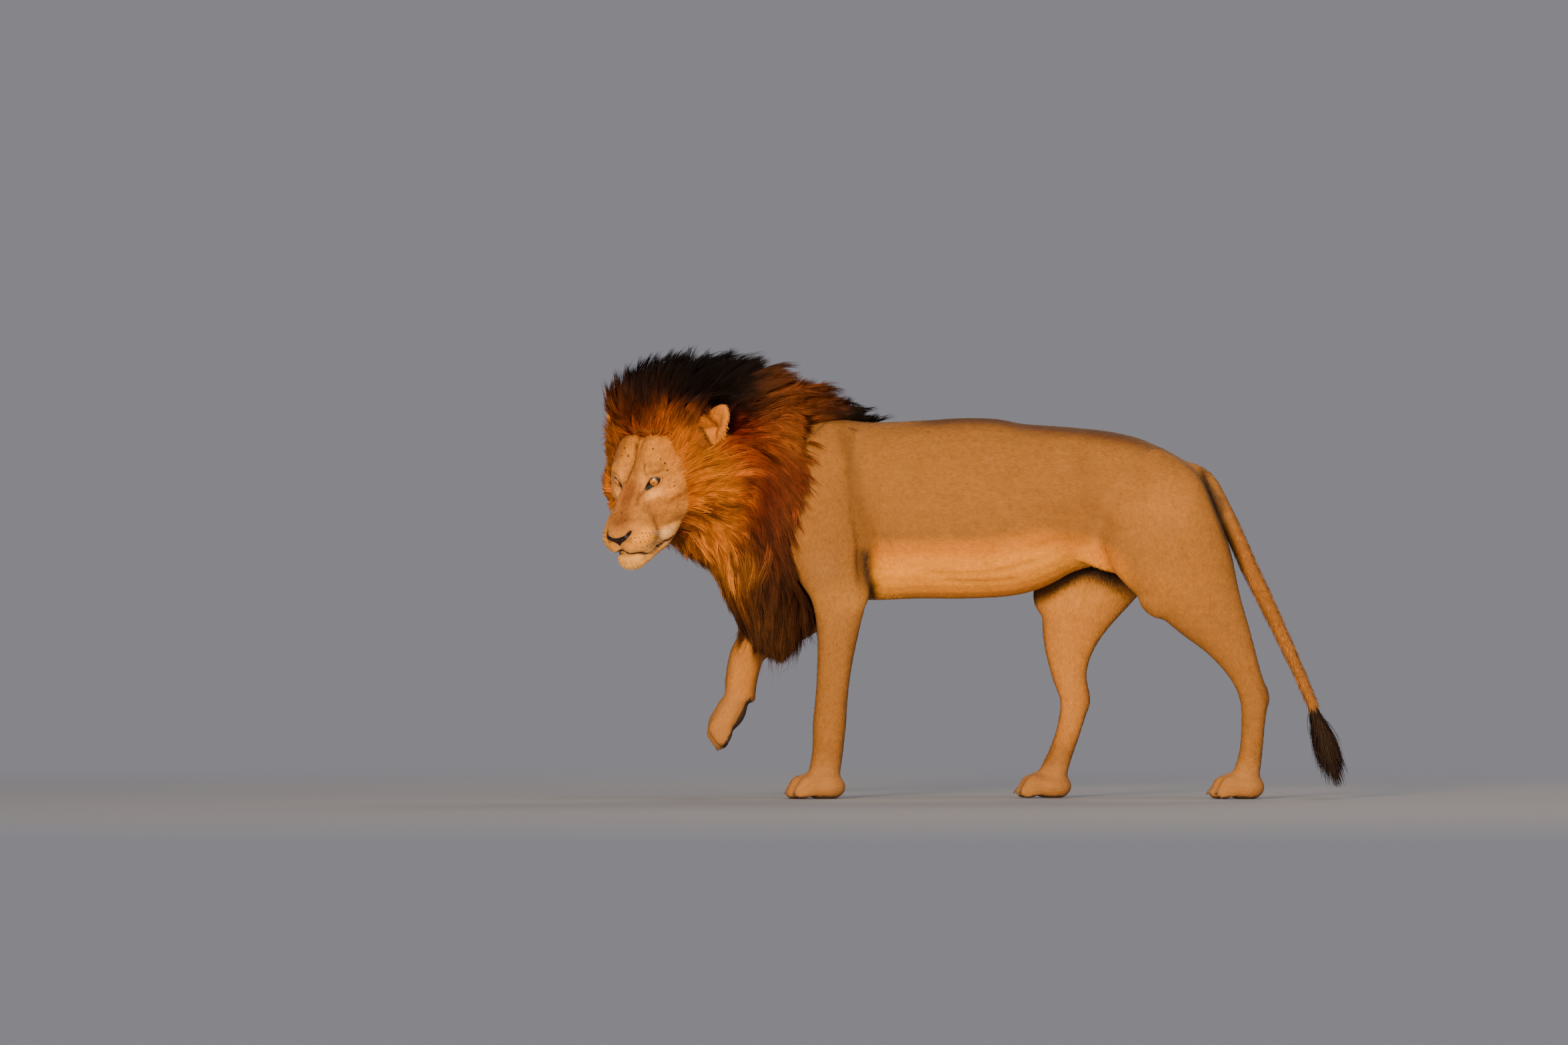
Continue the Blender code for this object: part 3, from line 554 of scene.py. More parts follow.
FACE_FORMS = [  # swellings and hollows on both sides: back, outwards, up, their radii, and the height
    ((0.058, 0.058, -0.026), (0.036, 0.02, 0.026), 0.008),  # whisker pads
    ((0.014, 0.02, -0.036), (0.016, 0.018, 0.018), 0.005),
    ((0.115, 0.056, -0.03), (0.022, 0.022, 0.034), -0.006),  # behind the whisker pads
    ((0.1, 0.052, 0.028), (0.046, 0.014, 0.018), -0.005),  # beside the nose
    ((0.14, 0.058, 0.062), (0.026, 0.022, 0.019), -0.012),  # eye sockets
    ((0.17, 0.056, 0.096), (0.028, 0.026, 0.016), 0.008),  # brows
    ((0.185, 0.088, 0.028), (0.046, 0.03, 0.024), 0.008),  # cheekbones
    ((0.24, 0.104, 0.088), (0.04, 0.03, 0.026), -0.006),  # temples
    ((0.27, 0.11, -0.05), (0.06, 0.04, 0.06), 0.012),  # jaw muscles
    ((0.225, 0.034, 0.128), (0.048, 0.02, 0.03), 0.005),  # forehead
    ((0.215, 0.0, 0.125), (0.06, 0.01, 0.04), -0.006),  # the groove along it
    ((0.075, 0.056, -0.083), (0.05, 0.02, 0.008), -0.007),  # the line of the mouth
    ((0.022, 0.028, -0.066), (0.024, 0.024, 0.008), -0.006),
]


def sculpt(obj, forms, places):
    """Raise soft swellings on obj, and press hollows into it. places are its points, in the forms' frame."""
    height = np.zeros(len(places))
    mirrored = places * (1, -1, 1)
    for centre, radii, rise in forms:
        height += rise * near(places, centre, radii)
        if centre[1]:
            height += rise * near(mirrored, centre, radii)
    raise_skin(obj, height)


FACE_COAT_DEPTH = 0.0015


def head_form():
    """The head in its own frame, without ears or eyes."""
    parts = [skull(), muzzle(), jaw()]
    parts += pair((0.06, 0.036, -0.03), (0.05, 0.031, 0.042), (0, -4, 8))  # whisker pads
    parts += pair((0.074, 0.038, -0.058), (0.046, 0.02, 0.024))  # upper lips
    parts += pair((0.026, 0.017, -0.03), (0.022, 0.022, 0.026))
    parts.append(mass((0.018, 0, -0.002), (0.018, 0.036, 0.018), (0, 25, 0)))  # nose
    obj = fuse("head", parts, HEAD_VOXEL, 14)
    sculpt(obj, FACE_FORMS, points_of(obj))
    raise_skin(obj, -FACE_COAT_DEPTH)
    return obj


EAR_DEPTH, EAR_WIDTH, EAR_HEIGHT = 0.019, 0.042, 0.066  # half measures of an ear with its coat
UNDER_COAT = 0.97  # the bare ear's share of them


def ear(side):
    """A rounded shell, hollow towards the front and outside, in the head's frame."""
    bm = bmesh.new()
    bmesh.ops.create_icosphere(bm, subdivisions=5, radius=1)
    points = np.array([v.co for v in bm.verts])
    height = points[:, 2]
    shape = np.empty_like(points)
    shape[:, 0] = points[:, 0] * EAR_DEPTH
    shape[:, 1] = points[:, 1] * EAR_WIDTH * (1 - 0.18 * np.clip(height, -1, 1))
    shape[:, 2] = height * EAR_HEIGHT
    inside = np.exp(-((points[:, 1] / 0.62) ** 2) - ((height - 0.05) / 0.72) ** 2)
    shape[:, 0] += np.where(points[:, 0] < 0, 0.026 * inside, 0.01 * inside)
    for v, place in zip(bm.verts, shape * UNDER_COAT):
        v.co = place
    bm.transform(ear_place(side))
    return object_of("ear", bm)


def ear_place(side):
    """From an ear's own axes, with its hollow towards -X, to the head's frame."""
    lean = Matrix.Rotation(side * math.radians(-34), 4, "X")
    open_out = Matrix.Rotation(side * math.radians(38), 4, "Z")
    tip_back = Matrix.Rotation(math.radians(14), 4, "Y")
    x, out, z = EAR_AT[side]
    return Matrix.Translation((x, side * out, z + 0.03)) @ lean @ open_out @ tip_back


def in_ear_axes(places, side):
    return moved(places, ear_place(side).inverted())


def eye_centre(side):
    """In the head's frame."""
    back, out, up = EYE_AT
    sunk = EYE_RADIUS * EYE_SUNK
    return Vector((back + sunk * math.cos(EYE_TURN), side * (out - sunk * math.sin(EYE_TURN)), up))


def eye_axes(side):
    """Outwards to the temple, up, and along the gaze, in the head's frame."""
    gaze = Vector((-math.cos(EYE_TURN), side * math.sin(EYE_TURN), 0))
    up = Vector((0, 0, 1))
    outward = up.cross(gaze) * -side
    return np.array([outward, up, gaze])


# ---------------------------------------------------------------- where the model goes
def design_shift():
    """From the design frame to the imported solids' frame."""
    low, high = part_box("eye_left")
    there = (Vector(low) + Vector(high)) / 2
    shift = there - HEAD_POSE @ eye_centre(LEFT)
    return Matrix.Translation((shift.x, shift.y, 0))


SHIFT = design_shift()


# ---------------------------------------------------------------- the skin
BODY_FORMS = [  # swellings and hollows, mirrored: x, outwards, z, their radii, and the height
    ((-0.185, 0.19, 0.8), (0.026, 0.08, 0.17), -0.01),  # behind the shoulder
    ((-0.19, 0.19, 0.64), (0.022, 0.08, 0.08), -0.012),  # behind the elbow
    ((-0.255, 0.18, 0.93), (0.05, 0.06, 0.11), 0.007),  # shoulder blade
    ((-0.33, 0.19, 0.96), (0.018, 0.06, 0.1), -0.005),
    ((-0.3, 0.21, 0.74), (0.055, 0.06, 0.09), 0.006),  # upper arm
    ((0.4, 0.18, 0.76), (0.08, 0.08, 0.07), -0.012),  # flank hollow
    ((0.33, 0.18, 0.93), (0.12, 0.08, 0.05), -0.005),  # loin
    ((0.1, 0.2, 0.73), (0.16, 0.08, 0.1), 0.005),  # ribs
    ((0.62, 0.18, 0.93), (0.06, 0.06, 0.05), 0.006),  # hip
    ((0.7, 0.18, 0.76), (0.06, 0.08, 0.09), 0.005),
    ((0.545, 0.2, 0.74), (0.03, 0.08, 0.11), -0.004),  # before the thigh
    ((0.12, 0.0, 1.07), (0.3, 0.022, 0.03), -0.005),  # along the spine
]

EYE_RIM, LID_ROLL = 1.05, 0.14  # in eyeball radii: the lids' inside, and the roll along their edges
MOUTH = [  # from under the nose to the corner, in the head's frame, outwards positive
    (0.004, 0.0, -0.042),
    (0.008, 0.014, -0.048),
    (0.023, 0.026, -0.062),
    (0.036, 0.037, -0.069),
    (0.053, 0.044, -0.076),
    (0.072, 0.049, -0.081),
    (0.095, 0.053, -0.085),
    (0.118, 0.056, -0.088),
    (0.137, 0.058, -0.093),
]
PHILTRUM = [(0.003, 0.0, -0.02), (0.003, 0.0, -0.032), (0.006, 0.0, -0.043)]
NOSTRIL = [(0.004, 0.012, -0.006), (0.008, 0.021, -0.003), (0.018, 0.031, 0.004), (0.026, 0.036, 0.01)]
TEAR_LINE = [(0.136, 0.036, 0.056), (0.122, 0.032, 0.054), (0.102, 0.03, 0.053), (0.08, 0.031, 0.043)]
CREASE = [
    (0.25, 0.01, 0.158), (0.217, 0.007, 0.128), (0.197, 0.005, 0.116), (0.168, 0.006, 0.1),
    (0.139, 0.014, 0.081),
]  # fmt: skip
EAR_SLIT = [(0.312, 0.128, 0.126), (0.305, 0.135, 0.113), (0.299, 0.14, 0.101), (0.296, 0.146, 0.084)]
SCAR = [(0.177, -0.026, 0.11), (0.162, -0.034, 0.101), (0.151, -0.039, 0.089)]
SPECKS = [  # the flecks and nicks of an old face
    (0.207, -0.044, 0.129), (0.194, -0.064, 0.106), (0.193, -0.073, 0.095), (0.188, -0.078, 0.078),
    (0.175, -0.091, 0.04), (0.191, 0.041, 0.118), (0.188, 0.02, 0.119), (0.204, 0.034, 0.133),
    (0.094, 0.017, 0.057), (0.058, 0.0, 0.037), (0.055, 0.019, 0.034), (0.041, -0.016, 0.026),
]  # fmt: skip
WHISKER_ROWS = [  # the first and the last root of each row, mirrored, and how many
    ((0.029, 0.048, -0.003), (0.048, 0.068, -0.016), 4),
    ((0.012, 0.035, -0.007), (0.047, 0.069, -0.021), 6),
    ((0.011, 0.033, -0.018), (0.037, 0.066, -0.03), 5),
    ((0.012, 0.041, -0.032), (0.032, 0.059, -0.043), 3),
]


def outward(places):
    """Places in the head's frame with both sides folded onto one."""
    return np.column_stack([places[:, 0], np.abs(places[:, 1]), places[:, 2]])


LIDS_MIDDLE, TO_TEMPLE, TO_NOSE = -0.15, 0.84, 1.22  # in eyeball radii, as are the next two
OPEN_ABOVE, OPEN_BELOW = 0.39, 0.5


def eye_opening(places, side):
    """How far outside the lids' opening each place is, in eyeball radii, and its place in the eye's axes."""
    local = (places - np.array(eye_centre(side))) @ eye_axes(side).T / EYE_RADIUS
    u, v = local[:, 0], local[:, 1]
    inner = u < LIDS_MIDDLE
    middle = np.where(inner, 0.5 * (u - LIDS_MIDDLE), 0.0) + 0.02
    corner = np.where(inner, TO_NOSE, TO_TEMPLE)
    reach = (u - LIDS_MIDDLE) / corner
    bow = np.clip(1 - reach**2, 0, 1) ** np.where(inner, 1.1, 0.7)
    gap = np.abs(v - middle) - np.where(v > middle, OPEN_ABOVE, OPEN_BELOW) * bow
    past = corner * np.maximum(np.abs(reach) - 1, 0)
    return np.where(past > 0, np.hypot(past, np.maximum(gap, 0)), gap), local


def before_eye(local):
    """True near an eye and before its middle. local is in the eye's own axes."""
    return (local[:, 2] > 0) & within(local, 0, 1.9)


def refine(obj, spots):
    """Halve the faces near each spot, in the head's frame: centre and radius."""
    for centre, radius in spots:
        bm = bmesh.new()
        bm.from_mesh(obj.data)
        here = HEAD_POSE @ Vector(centre)
        faces = [f for f in bm.faces if (f.calc_center_median() - here).length < radius * HEAD_SCALE]
        edges = list({e for f in faces for e in f.edges})
        bmesh.ops.subdivide_edges(bm, edges=edges, cuts=1, use_grid_fill=True)
        bmesh.ops.triangulate(bm, faces=[f for f in bm.faces if len(f.verts) > 4])
        bm.to_mesh(obj.data)
        bm.free()


def form_lids(obj):
    """Wrap the skin round each eyeball, open along the lids' edges."""
    for side in SIDES:
        points = points_of(obj)
        places = to_head(points)
        centre = np.array(eye_centre(side))
        away = places - centre
        radius = np.linalg.norm(away, axis=1) / EYE_RADIUS
        gap, local = eye_opening(places, side)
        facing = local[:, 2] / np.maximum(radius, 1e-6)
        close = (radius < 2.6) & (facing > -0.3)
        lid = EYE_RIM + LID_ROLL * bell(gap - 0.18, 0.15) * np.where(local[:, 1] > 0, 1.3, 0.7)
        wrapped = (radius + lid + np.sqrt((radius - lid) ** 2 + 0.02)) / 2
        target = radius + (wrapped - radius) * ramp(facing, -0.3, 0.15)
        target = target + (0.8 - target) * ramp(gap, 0.03, -0.06) * (facing > 0.2)
        target = np.where(close, target, radius)
        places = centre + unit(away) * (target * EYE_RADIUS)[:, None]
        set_points(obj, np.where(close[:, None], moved(places, HEAD_POSE), points))


def groove(obj, path, width, depth, mirrored=True):
    """Press a line into the face, in the head's frame."""
    places = to_head(points_of(obj))
    gap, along = distance_to_path(outward(places) if mirrored else places, path)
    fade = ramp(along, 0, 0.08) * ramp(along, 1, 0.85) if mirrored else 1
    raise_skin(obj, -depth * bell(gap, width) * np.maximum(fade, 0.25))


DETAIL_FORMS = [  # in the head's frame, finer than the solids' forms
    ((0.166, 0.06, 0.096), (0.022, 0.026, 0.01), 0.01),  # the brow over the eye
    ((0.146, 0.038, 0.088), (0.014, 0.01, 0.014), 0.005),
    ((0.14, 0.056, 0.036), (0.02, 0.016, 0.008), 0.004),  # the pouch under it
    ((0.126, 0.03, 0.064), (0.02, 0.008, 0.014), -0.007),  # the corner by the nose
    ((0.1, 0.037, 0.044), (0.034, 0.008, 0.016), -0.005),
    ((0.088, 0.022, 0.058), (0.04, 0.007, 0.012), 0.003),  # the bridge's edge
    ((0.104, 0.0, 0.062), (0.05, 0.012, 0.016), -0.003),
    ((0.01, 0.027, -0.007), (0.012, 0.012, 0.009), 0.004),  # the nostrils' wings
    ((0.006, 0.0, 0.002), (0.01, 0.012, 0.008), 0.003),
    ((0.018, 0.016, -0.05), (0.018, 0.014, 0.012), 0.004),  # upper lips
    ((0.05, 0.048, -0.066), (0.03, 0.016, 0.012), 0.005),
    ((0.116, 0.062, -0.072), (0.03, 0.014, 0.01), 0.006),  # the lip's fold at the corner
    ((0.026, 0.016, -0.088), (0.022, 0.022, 0.014), 0.004),  # chin
    ((0.156, 0.082, -0.03), (0.034, 0.02, 0.026), 0.006),  # cheek
    ((0.112, 0.066, -0.02), (0.014, 0.01, 0.034), -0.005),
    ((0.172, 0.084, 0.022), (0.04, 0.02, 0.012), 0.005),  # cheekbone
    ((0.212, 0.026, 0.126), (0.034, 0.018, 0.024), 0.005),  # forehead
    ((0.22, 0.0, 0.13), (0.05, 0.006, 0.03), -0.004),
    ((0.214, 0.08, 0.092), (0.026, 0.018, 0.026), -0.005),  # temple
    ((0.128, 0.044, -0.1), (0.044, 0.03, 0.02), 0.011),  # the lower lip
    ((0.07, 0.034, -0.1), (0.04, 0.026, 0.016), 0.005),
]


SOLE_LEVEL = 0.0008  # a hair above the floor


def flatten_soles(obj):
    """Nothing reaches through the floor."""
    set_points(obj, np.maximum(points_of(obj), (-np.inf, -np.inf, SOLE_LEVEL)))


def laid_on(skin, path):
    """A path in the head's frame, each point moved to the nearest place on the left side of the skin."""
    tree = BVHTree.FromObject(skin, bpy.context.evaluated_depsgraph_get())
    found = [TO_HEAD @ tree.find_nearest(HEAD_POSE @ Vector((x, -out, z)))[0] for x, out, z in path]
    return [(place.x, -place.y, place.z) for place in found]


def make_skin(core):
    """One skin from the nose to the tail's tip, with the mane's felted under-hair."""
    parts = [
        trunk(),
        leg(FORELEG_LEFT, LEFT),
        leg(FORELEG_RIGHT, RIGHT),
        leg(HINDLEG_LEFT, LEFT),
        leg(HINDLEG_RIGHT, RIGHT),
        *muscles(),
        loft(TAIL, sides=20),
        loft(TAIL_TUFT, sides=20, depth=0.016),
        mesh_object("core", core.data.copy()),
    ]
    for heel, side, size, pitch in PAWS:
        parts += paw(heel, side, size, pitch)
    skin = fuse("skin", parts, SKIN_VOXEL, 6)
    places = points_of(skin)
    sculpt(skin, BODY_FORMS, places)
    for path, width, dark, depth in SHADED_LINES:
        raise_skin(skin, -along_line(places, path, width, depth) * (np.abs(places[:, 1]) > 0.06))
    raise_skin(skin, -COAT_DEPTH * ramp(places[:, 0], -0.4, -0.36))

    head = head_form()
    ears = [ear(side) for side in SIDES]
    in_head_frame([head, *ears])
    for part in (head, *ears):
        boolean(skin, part, "UNION")
    eyes = [tuple(eye_centre(side)) for side in SIDES]
    refine(skin, [(eye, 0.042) for eye in eyes] + [((0.01, 0, -0.012), 0.05), ((0.06, 0, -0.065), 0.078)])
    refine(skin, [(eye, 0.03) for eye in eyes] + [((0.006, 0, -0.006), 0.036)])
    places = to_head(points_of(skin))
    sculpt(skin, DETAIL_FORMS, places)
    MOUTH[:] = laid_on(skin, MOUTH)
    groove(skin, MOUTH, 0.0044, 0.0095)
    groove(skin, PHILTRUM, 0.0018, 0.003, mirrored=False)
    groove(skin, NOSTRIL, 0.004, 0.0085)
    groove(skin, CREASE, 0.0045, 0.006, mirrored=False)
    form_lids(skin)
    flatten_soles(skin)
    return skin


# ---------------------------------------------------------------- the markings, with painted light and shade, shared by skin and coat
TAN = (0.33, 0.142, 0.03)
BODY_TINTS = [  # x, outwards, z, radii, colour and how much of it
    ((0.05, 0.0, 0.56), (0.45, 0.19, 0.05), (1.0, 0.47, 0.09), 0.8),  # belly
    ((0.385, 0.04, 0.645), (0.06, 0.07, 0.034), (0.05, 0.016, 0.004), 0.9),  # painted shadow in the fold before the thigh
    ((0.3, 0.2, 0.86), (0.3, 0.12, 0.06), (0.32, 0.136, 0.03), 0.6),
    ((0.62, 0.22, 0.8), (0.12, 0.12, 0.09), (0.43, 0.185, 0.042), 0.7),  # thigh
    ((0.65, 0.22, 0.6), (0.12, 0.12, 0.08), (0.44, 0.18, 0.034), 0.6),
    ((-0.29, 0.2, 0.8), (0.06, 0.12, 0.18), (0.3, 0.128, 0.028), 0.6),  # shoulder
    ((-0.31, 0.2, 0.64), (0.05, 0.12, 0.06), (0.36, 0.17, 0.06), 0.6),
    ((-0.27, 0.13, 0.5), (0.06, 0.08, 0.16), (0.36, 0.165, 0.044), 0.6),  # foreleg
    ((0.83, 0.12, 0.78), (0.03, 0.08, 0.12), (0.1, 0.034, 0.008), 0.7),  # seat: painted shadow of the tail on the backs of the thighs
    ((0.74, 0.0, 0.76), (0.09, 0.06, 0.14), (0.5, 0.25, 0.08), 0.7),  # between the thighs
    ((0.735, 0.0, 0.67), (0.04, 0.04, 0.04), (0.09, 0.04, 0.014), 0.9),
    ((0.925, 0.1, 0.29), (0.022, 0.03, 0.06), (0.16, 0.07, 0.02), 0.7),  # hocks
    ((0.435, 0.1, 0.28), (0.022, 0.03, 0.06), (0.16, 0.07, 0.02), 0.7),
]
FLANK_LINE = [  # x and z of the edge between the tan above and the cream below, which is the coat's paler underside with painted light on it
    (-0.18, 0.7), (0.15, 0.709), (0.3, 0.737), (0.43, 0.715), (0.52, 0.67), (0.6, 0.6),
]  # fmt: skip
FLANK_ORANGE, FLANK_CREAM = (0.78, 0.265, 0.014), (1.0, 0.42, 0.03)
THIGH_ARCH = [(0.295, 0.57), (0.35, 0.62), (0.41, 0.652), (0.48, 0.632), (0.545, 0.59)]
ELBOW_LINE = [(-0.192, 0.7), (-0.183, 0.62), (-0.163, 0.545)]
SHADED_LINES = [  # creases of the hide in x and z, with painted shade along them: their widths, how much darker, and how deep
    ([(-0.275, 1.065), (-0.235, 0.975), (-0.215, 0.86), (-0.185, 0.72), (-0.167, 0.545)], 0.02, 0.3, 0.006),
    (ELBOW_LINE, 0.018, 0.86, 0.003),
    # painted shadow of the tail along the thigh's rear edge, with no crease
    ([(0.735, 0.93), (0.757, 0.87), (0.792, 0.78), (0.842, 0.66), (0.872, 0.57)], 0.011, 0.85, 0.0),
    ([(0.02, 0.604), (0.12, 0.598), (0.24, 0.606)], 0.007, 0.2, 0.003),
    ([(-0.06, 0.63), (0.08, 0.622), (0.2, 0.634), (0.3, 0.664)], 0.008, 0.15, 0.0025),
    ([(0.25, 0.69), (0.36, 0.716), (0.44, 0.7)], 0.014, 0.15, 0.003),
    ([(0.43, 0.98), (0.415, 0.88), (0.45, 0.79), (0.52, 0.72)], 0.024, 0.1, 0.004),
]
# painted shade along the top of the back
DORSAL_SHADE = (0.08, 0.023, 0.006)
PAW_TAN = (0.44, 0.2, 0.055)
PAD = (0.05, 0.034, 0.028)
INNER_LEG = (0.55, 0.23, 0.045)
TAIL_TAN = (0.38, 0.155, 0.034)
BLACK = (0.012, 0.007, 0.005)
ARCH_SHADOW = (0.014, 0.005, 0.003)  # painted shadow in the arch before the thigh
# the second is painted shade in the forehead's crease
TEAR_BROWN, CREASE_SHADE, SCAR_BROWN = (0.1, 0.038, 0.016), (0.09, 0.03, 0.01), (0.3, 0.105, 0.03)
LID_DARK, NOSE_DARK, MARK_DARK = (0.01, 0.006, 0.005), (0.012, 0.008, 0.008), (0.045, 0.018, 0.008)
EAR_GOLD, EAR_HAIR, EAR_BACK = (0.66, 0.25, 0.028), (0.5, 0.15, 0.01), (0.02, 0.012, 0.01)
# painted shade in the ear's hollow and in the slit at its foot
EAR_HOLLOW_SHADE, SLIT_SHADE = (0.09, 0.026, 0.006), (0.012, 0.005, 0.003)

FACE_TAN = (0.56, 0.25, 0.056)
FACE_TINTS = [  # in the head's frame, mirrored: back, outwards, up, radii, colour, how much
    ((0.23, 0.05, 0.12), (0.06, 0.08, 0.05), (0.54, 0.205, 0.02), 0.9),  # forehead
    ((0.105, 0.0, 0.055), (0.075, 0.032, 0.045), (0.26, 0.082, 0.019), 0.95),  # nose bridge
    ((0.045, 0.0, 0.022), (0.034, 0.04, 0.02), (0.2, 0.07, 0.018), 0.95),
    ((0.11, 0.06, 0.01), (0.04, 0.026, 0.04), (0.5, 0.19, 0.036), 0.7),
    ((0.15, 0.03, 0.1), (0.02, 0.014, 0.014), (0.66, 0.29, 0.06), 0.8),  # over the inner corner
    ((0.04, 0.05, -0.022), (0.032, 0.03, 0.022), (1.0, 0.42, 0.025), 0.95),  # whisker pads
    ((0.026, 0.034, -0.05), (0.034, 0.03, 0.016), (1.0, 0.52, 0.13), 0.9),
    ((0.126, 0.055, -0.07), (0.038, 0.024, 0.013), (1.0, 0.62, 0.26), 0.95),  # by the mouth's corner
    ((0.035, 0.0, -0.092), (0.055, 0.05, 0.028), (0.95, 0.55, 0.15), 1.0),  # chin
    ((0.15, 0.0, -0.115), (0.1, 0.06, 0.026), (0.7, 0.34, 0.09), 0.8),
    ((0.145, 0.052, 0.04), (0.024, 0.022, 0.009), (1.0, 0.5, 0.12), 1.0),  # under the eye
    ((0.142, 0.032, 0.084), (0.026, 0.009, 0.016), (0.8, 0.37, 0.08), 0.8),  # between eye and bridge
    ((0.17, 0.092, 0.02), (0.05, 0.03, 0.045), (0.62, 0.24, 0.036), 0.7),
    ((0.24, 0.11, 0.03), (0.042, 0.05, 0.085), (0.6, 0.19, 0.016), 0.85),  # where the ruff begins
    ((0.262, 0.03, 0.17), (0.02, 0.1, 0.026), (0.15, 0.032, 0.004), 0.95),
]
MANE_TINTS = [  # x and z on either flank of the mane, the size, the colour at the root and at the tip
    ((-0.9, 1.06), 0.05, (0.393, 0.097, 0.009), (0.487, 0.146, 0.021)),
    ((-0.86, 1.11), 0.045, (0.019, 0.004, 0.003), (0.01, 0.003, 0.003)),
    ((-0.78, 1.12), 0.05, (0.03, 0.007, 0.003), (0.008, 0.003, 0.002)),
    ((-0.76, 1.19), 0.06, (0.006, 0.003, 0.002), (0.006, 0.003, 0.002)),
    ((-0.64, 1.16), 0.08, (0.004, 0.002, 0.002), (0.004, 0.002, 0.002)),
    ((-0.51, 1.14), 0.06, (0.004, 0.002, 0.002), (0.004, 0.002, 0.002)),
    ((-0.66, 1.11), 0.045, (0.012, 0.004, 0.002), (0.006, 0.002, 0.002)),
    ((-0.58, 1.095), 0.045, (0.012, 0.004, 0.002), (0.006, 0.002, 0.002)),
    ((-0.66, 1.05), 0.036, (0.18, 0.045, 0.005), (0.25, 0.066, 0.007)),
    ((-0.42, 1.13), 0.045, (0.23, 0.066, 0.015), (0.09, 0.03, 0.009)),
    ((-0.39, 1.08), 0.05, (0.27, 0.08, 0.016), (0.2, 0.055, 0.01)),
    ((-0.3, 1.11), 0.04, (0.15, 0.039, 0.009), (0.064, 0.018, 0.006)),
    ((-0.22, 1.08), 0.045, (0.01, 0.004, 0.002), (0.005, 0.003, 0.002)),
    ((-0.56, 1.0), 0.05, (0.182, 0.017, 0.003), (0.255, 0.031, 0.006)),
    ((-0.58, 0.93), 0.055, (0.24, 0.036, 0.003), (0.31, 0.058, 0.005)),
    ((-0.48, 0.96), 0.055, (0.15, 0.021, 0.003), (0.22, 0.041, 0.007)),
    ((-0.4, 0.97), 0.045, (0.13, 0.033, 0.005), (0.26, 0.081, 0.013)),
    ((-0.4, 0.88), 0.045, (0.121, 0.017, 0.003), (0.158, 0.037, 0.009)),
    ((-0.5, 0.86), 0.055, (0.046, 0.003, 0.002), (0.071, 0.006, 0.002)),
    ((-0.48, 0.78), 0.055, (0.065, 0.008, 0.002), (0.102, 0.013, 0.003)),
    ((-0.4, 0.76), 0.045, (0.09, 0.02, 0.004), (0.135, 0.037, 0.01)),
    ((-0.56, 0.72), 0.055, (0.057, 0.013, 0.004), (0.097, 0.027, 0.008)),
    ((-0.46, 0.66), 0.06, (0.046, 0.01, 0.003), (0.069, 0.018, 0.006)),
    ((-0.54, 0.6), 0.04, (0.274, 0.094, 0.015), (0.434, 0.171, 0.028)),
    ((-0.44, 0.54), 0.06, (0.032, 0.01, 0.004), (0.054, 0.02, 0.008)),
    ((-0.42, 0.44), 0.05, (0.046, 0.018, 0.007), (0.091, 0.036, 0.013)),
]
RUFF_TINTS = [  # the same in the head's frame: back, outwards, up
    ((0.262, 0.03, 0.168), 0.04, (0.36, 0.08, 0.004), (0.46, 0.12, 0.008)),
    ((0.27, 0.11, 0.13), 0.05, (0.46, 0.125, 0.006), (0.56, 0.175, 0.01)),
    ((0.33, 0.11, 0.19), 0.05, (0.143, 0.024, 0.003), (0.043, 0.009, 0.002)),
    ((0.32, 0.01, 0.232), 0.042, (0.025, 0.005, 0.002), (0.005, 0.002, 0.002)),
    ((0.236, 0.032, 0.216), 0.03, (0.11, 0.022, 0.003), (0.05, 0.011, 0.003)),
    ((0.245, 0.03, 0.265), 0.045, (0.01, 0.004, 0.002), (0.005, 0.002, 0.002)),
    ((0.255, 0.004, 0.197), 0.034, (0.03, 0.005, 0.002), (0.055, 0.009, 0.002)),
    ((0.3, 0.141, 0.098), 0.027, (0.008, 0.003, 0.002), (0.02, 0.007, 0.003)),
    ((0.37, 0.045, 0.195), 0.042, (0.03, 0.006, 0.002), (0.01, 0.003, 0.002)),
    # painted shade in the hollow behind the mouth's corner
    ((0.17, 0.062, -0.108), 0.028, (0.16, 0.05, 0.017), (0.343, 0.13, 0.046)),
    ((0.27, 0.15, 0.05), 0.055, (0.46, 0.128, 0.004), (0.53, 0.18, 0.009)),
    ((0.28, 0.16, -0.03), 0.055, (0.48, 0.125, 0.003), (0.6, 0.205, 0.01)),
    ((0.34, 0.18, -0.04), 0.055, (0.45, 0.13, 0.012), (0.58, 0.22, 0.036)),
    ((0.285, 0.125, -0.1), 0.05, (0.46, 0.14, 0.01), (0.62, 0.225, 0.026)),
    ((0.26, 0.04, -0.13), 0.055, (0.4, 0.12, 0.012), (0.56, 0.195, 0.022)),
    ((0.4, 0.19, 0.02), 0.06, (0.16, 0.018, 0.003), (0.2, 0.028, 0.004)),
]


def along_line(points, path, width, height):
    """The height on a line over the flanks, falling away softly to its sides and ends."""
    gap, along = on_flanks(points, path)
    return height * ramp(along, 0, 0.12) * ramp(along, 1, 0.9) * bell(gap, width)


def glaze(colours, mask, tint):
    """Lay a tint over the colours, as thickly as the mask says."""
    mask = np.asarray(mask)[:, None]
    return colours * (1 - mask) + np.array(tint) * mask


def head_share(places):
    """1 on the face and skull, and 0 past the ruff. places are in the head's frame."""
    radius = np.linalg.norm((places - (0.2, 0, 0.0)) / (1.25, 1.0, 1.1), axis=1)
    return ramp(radius, 0.26, 0.215) * ramp(places[:, 0], 0.38, 0.325)


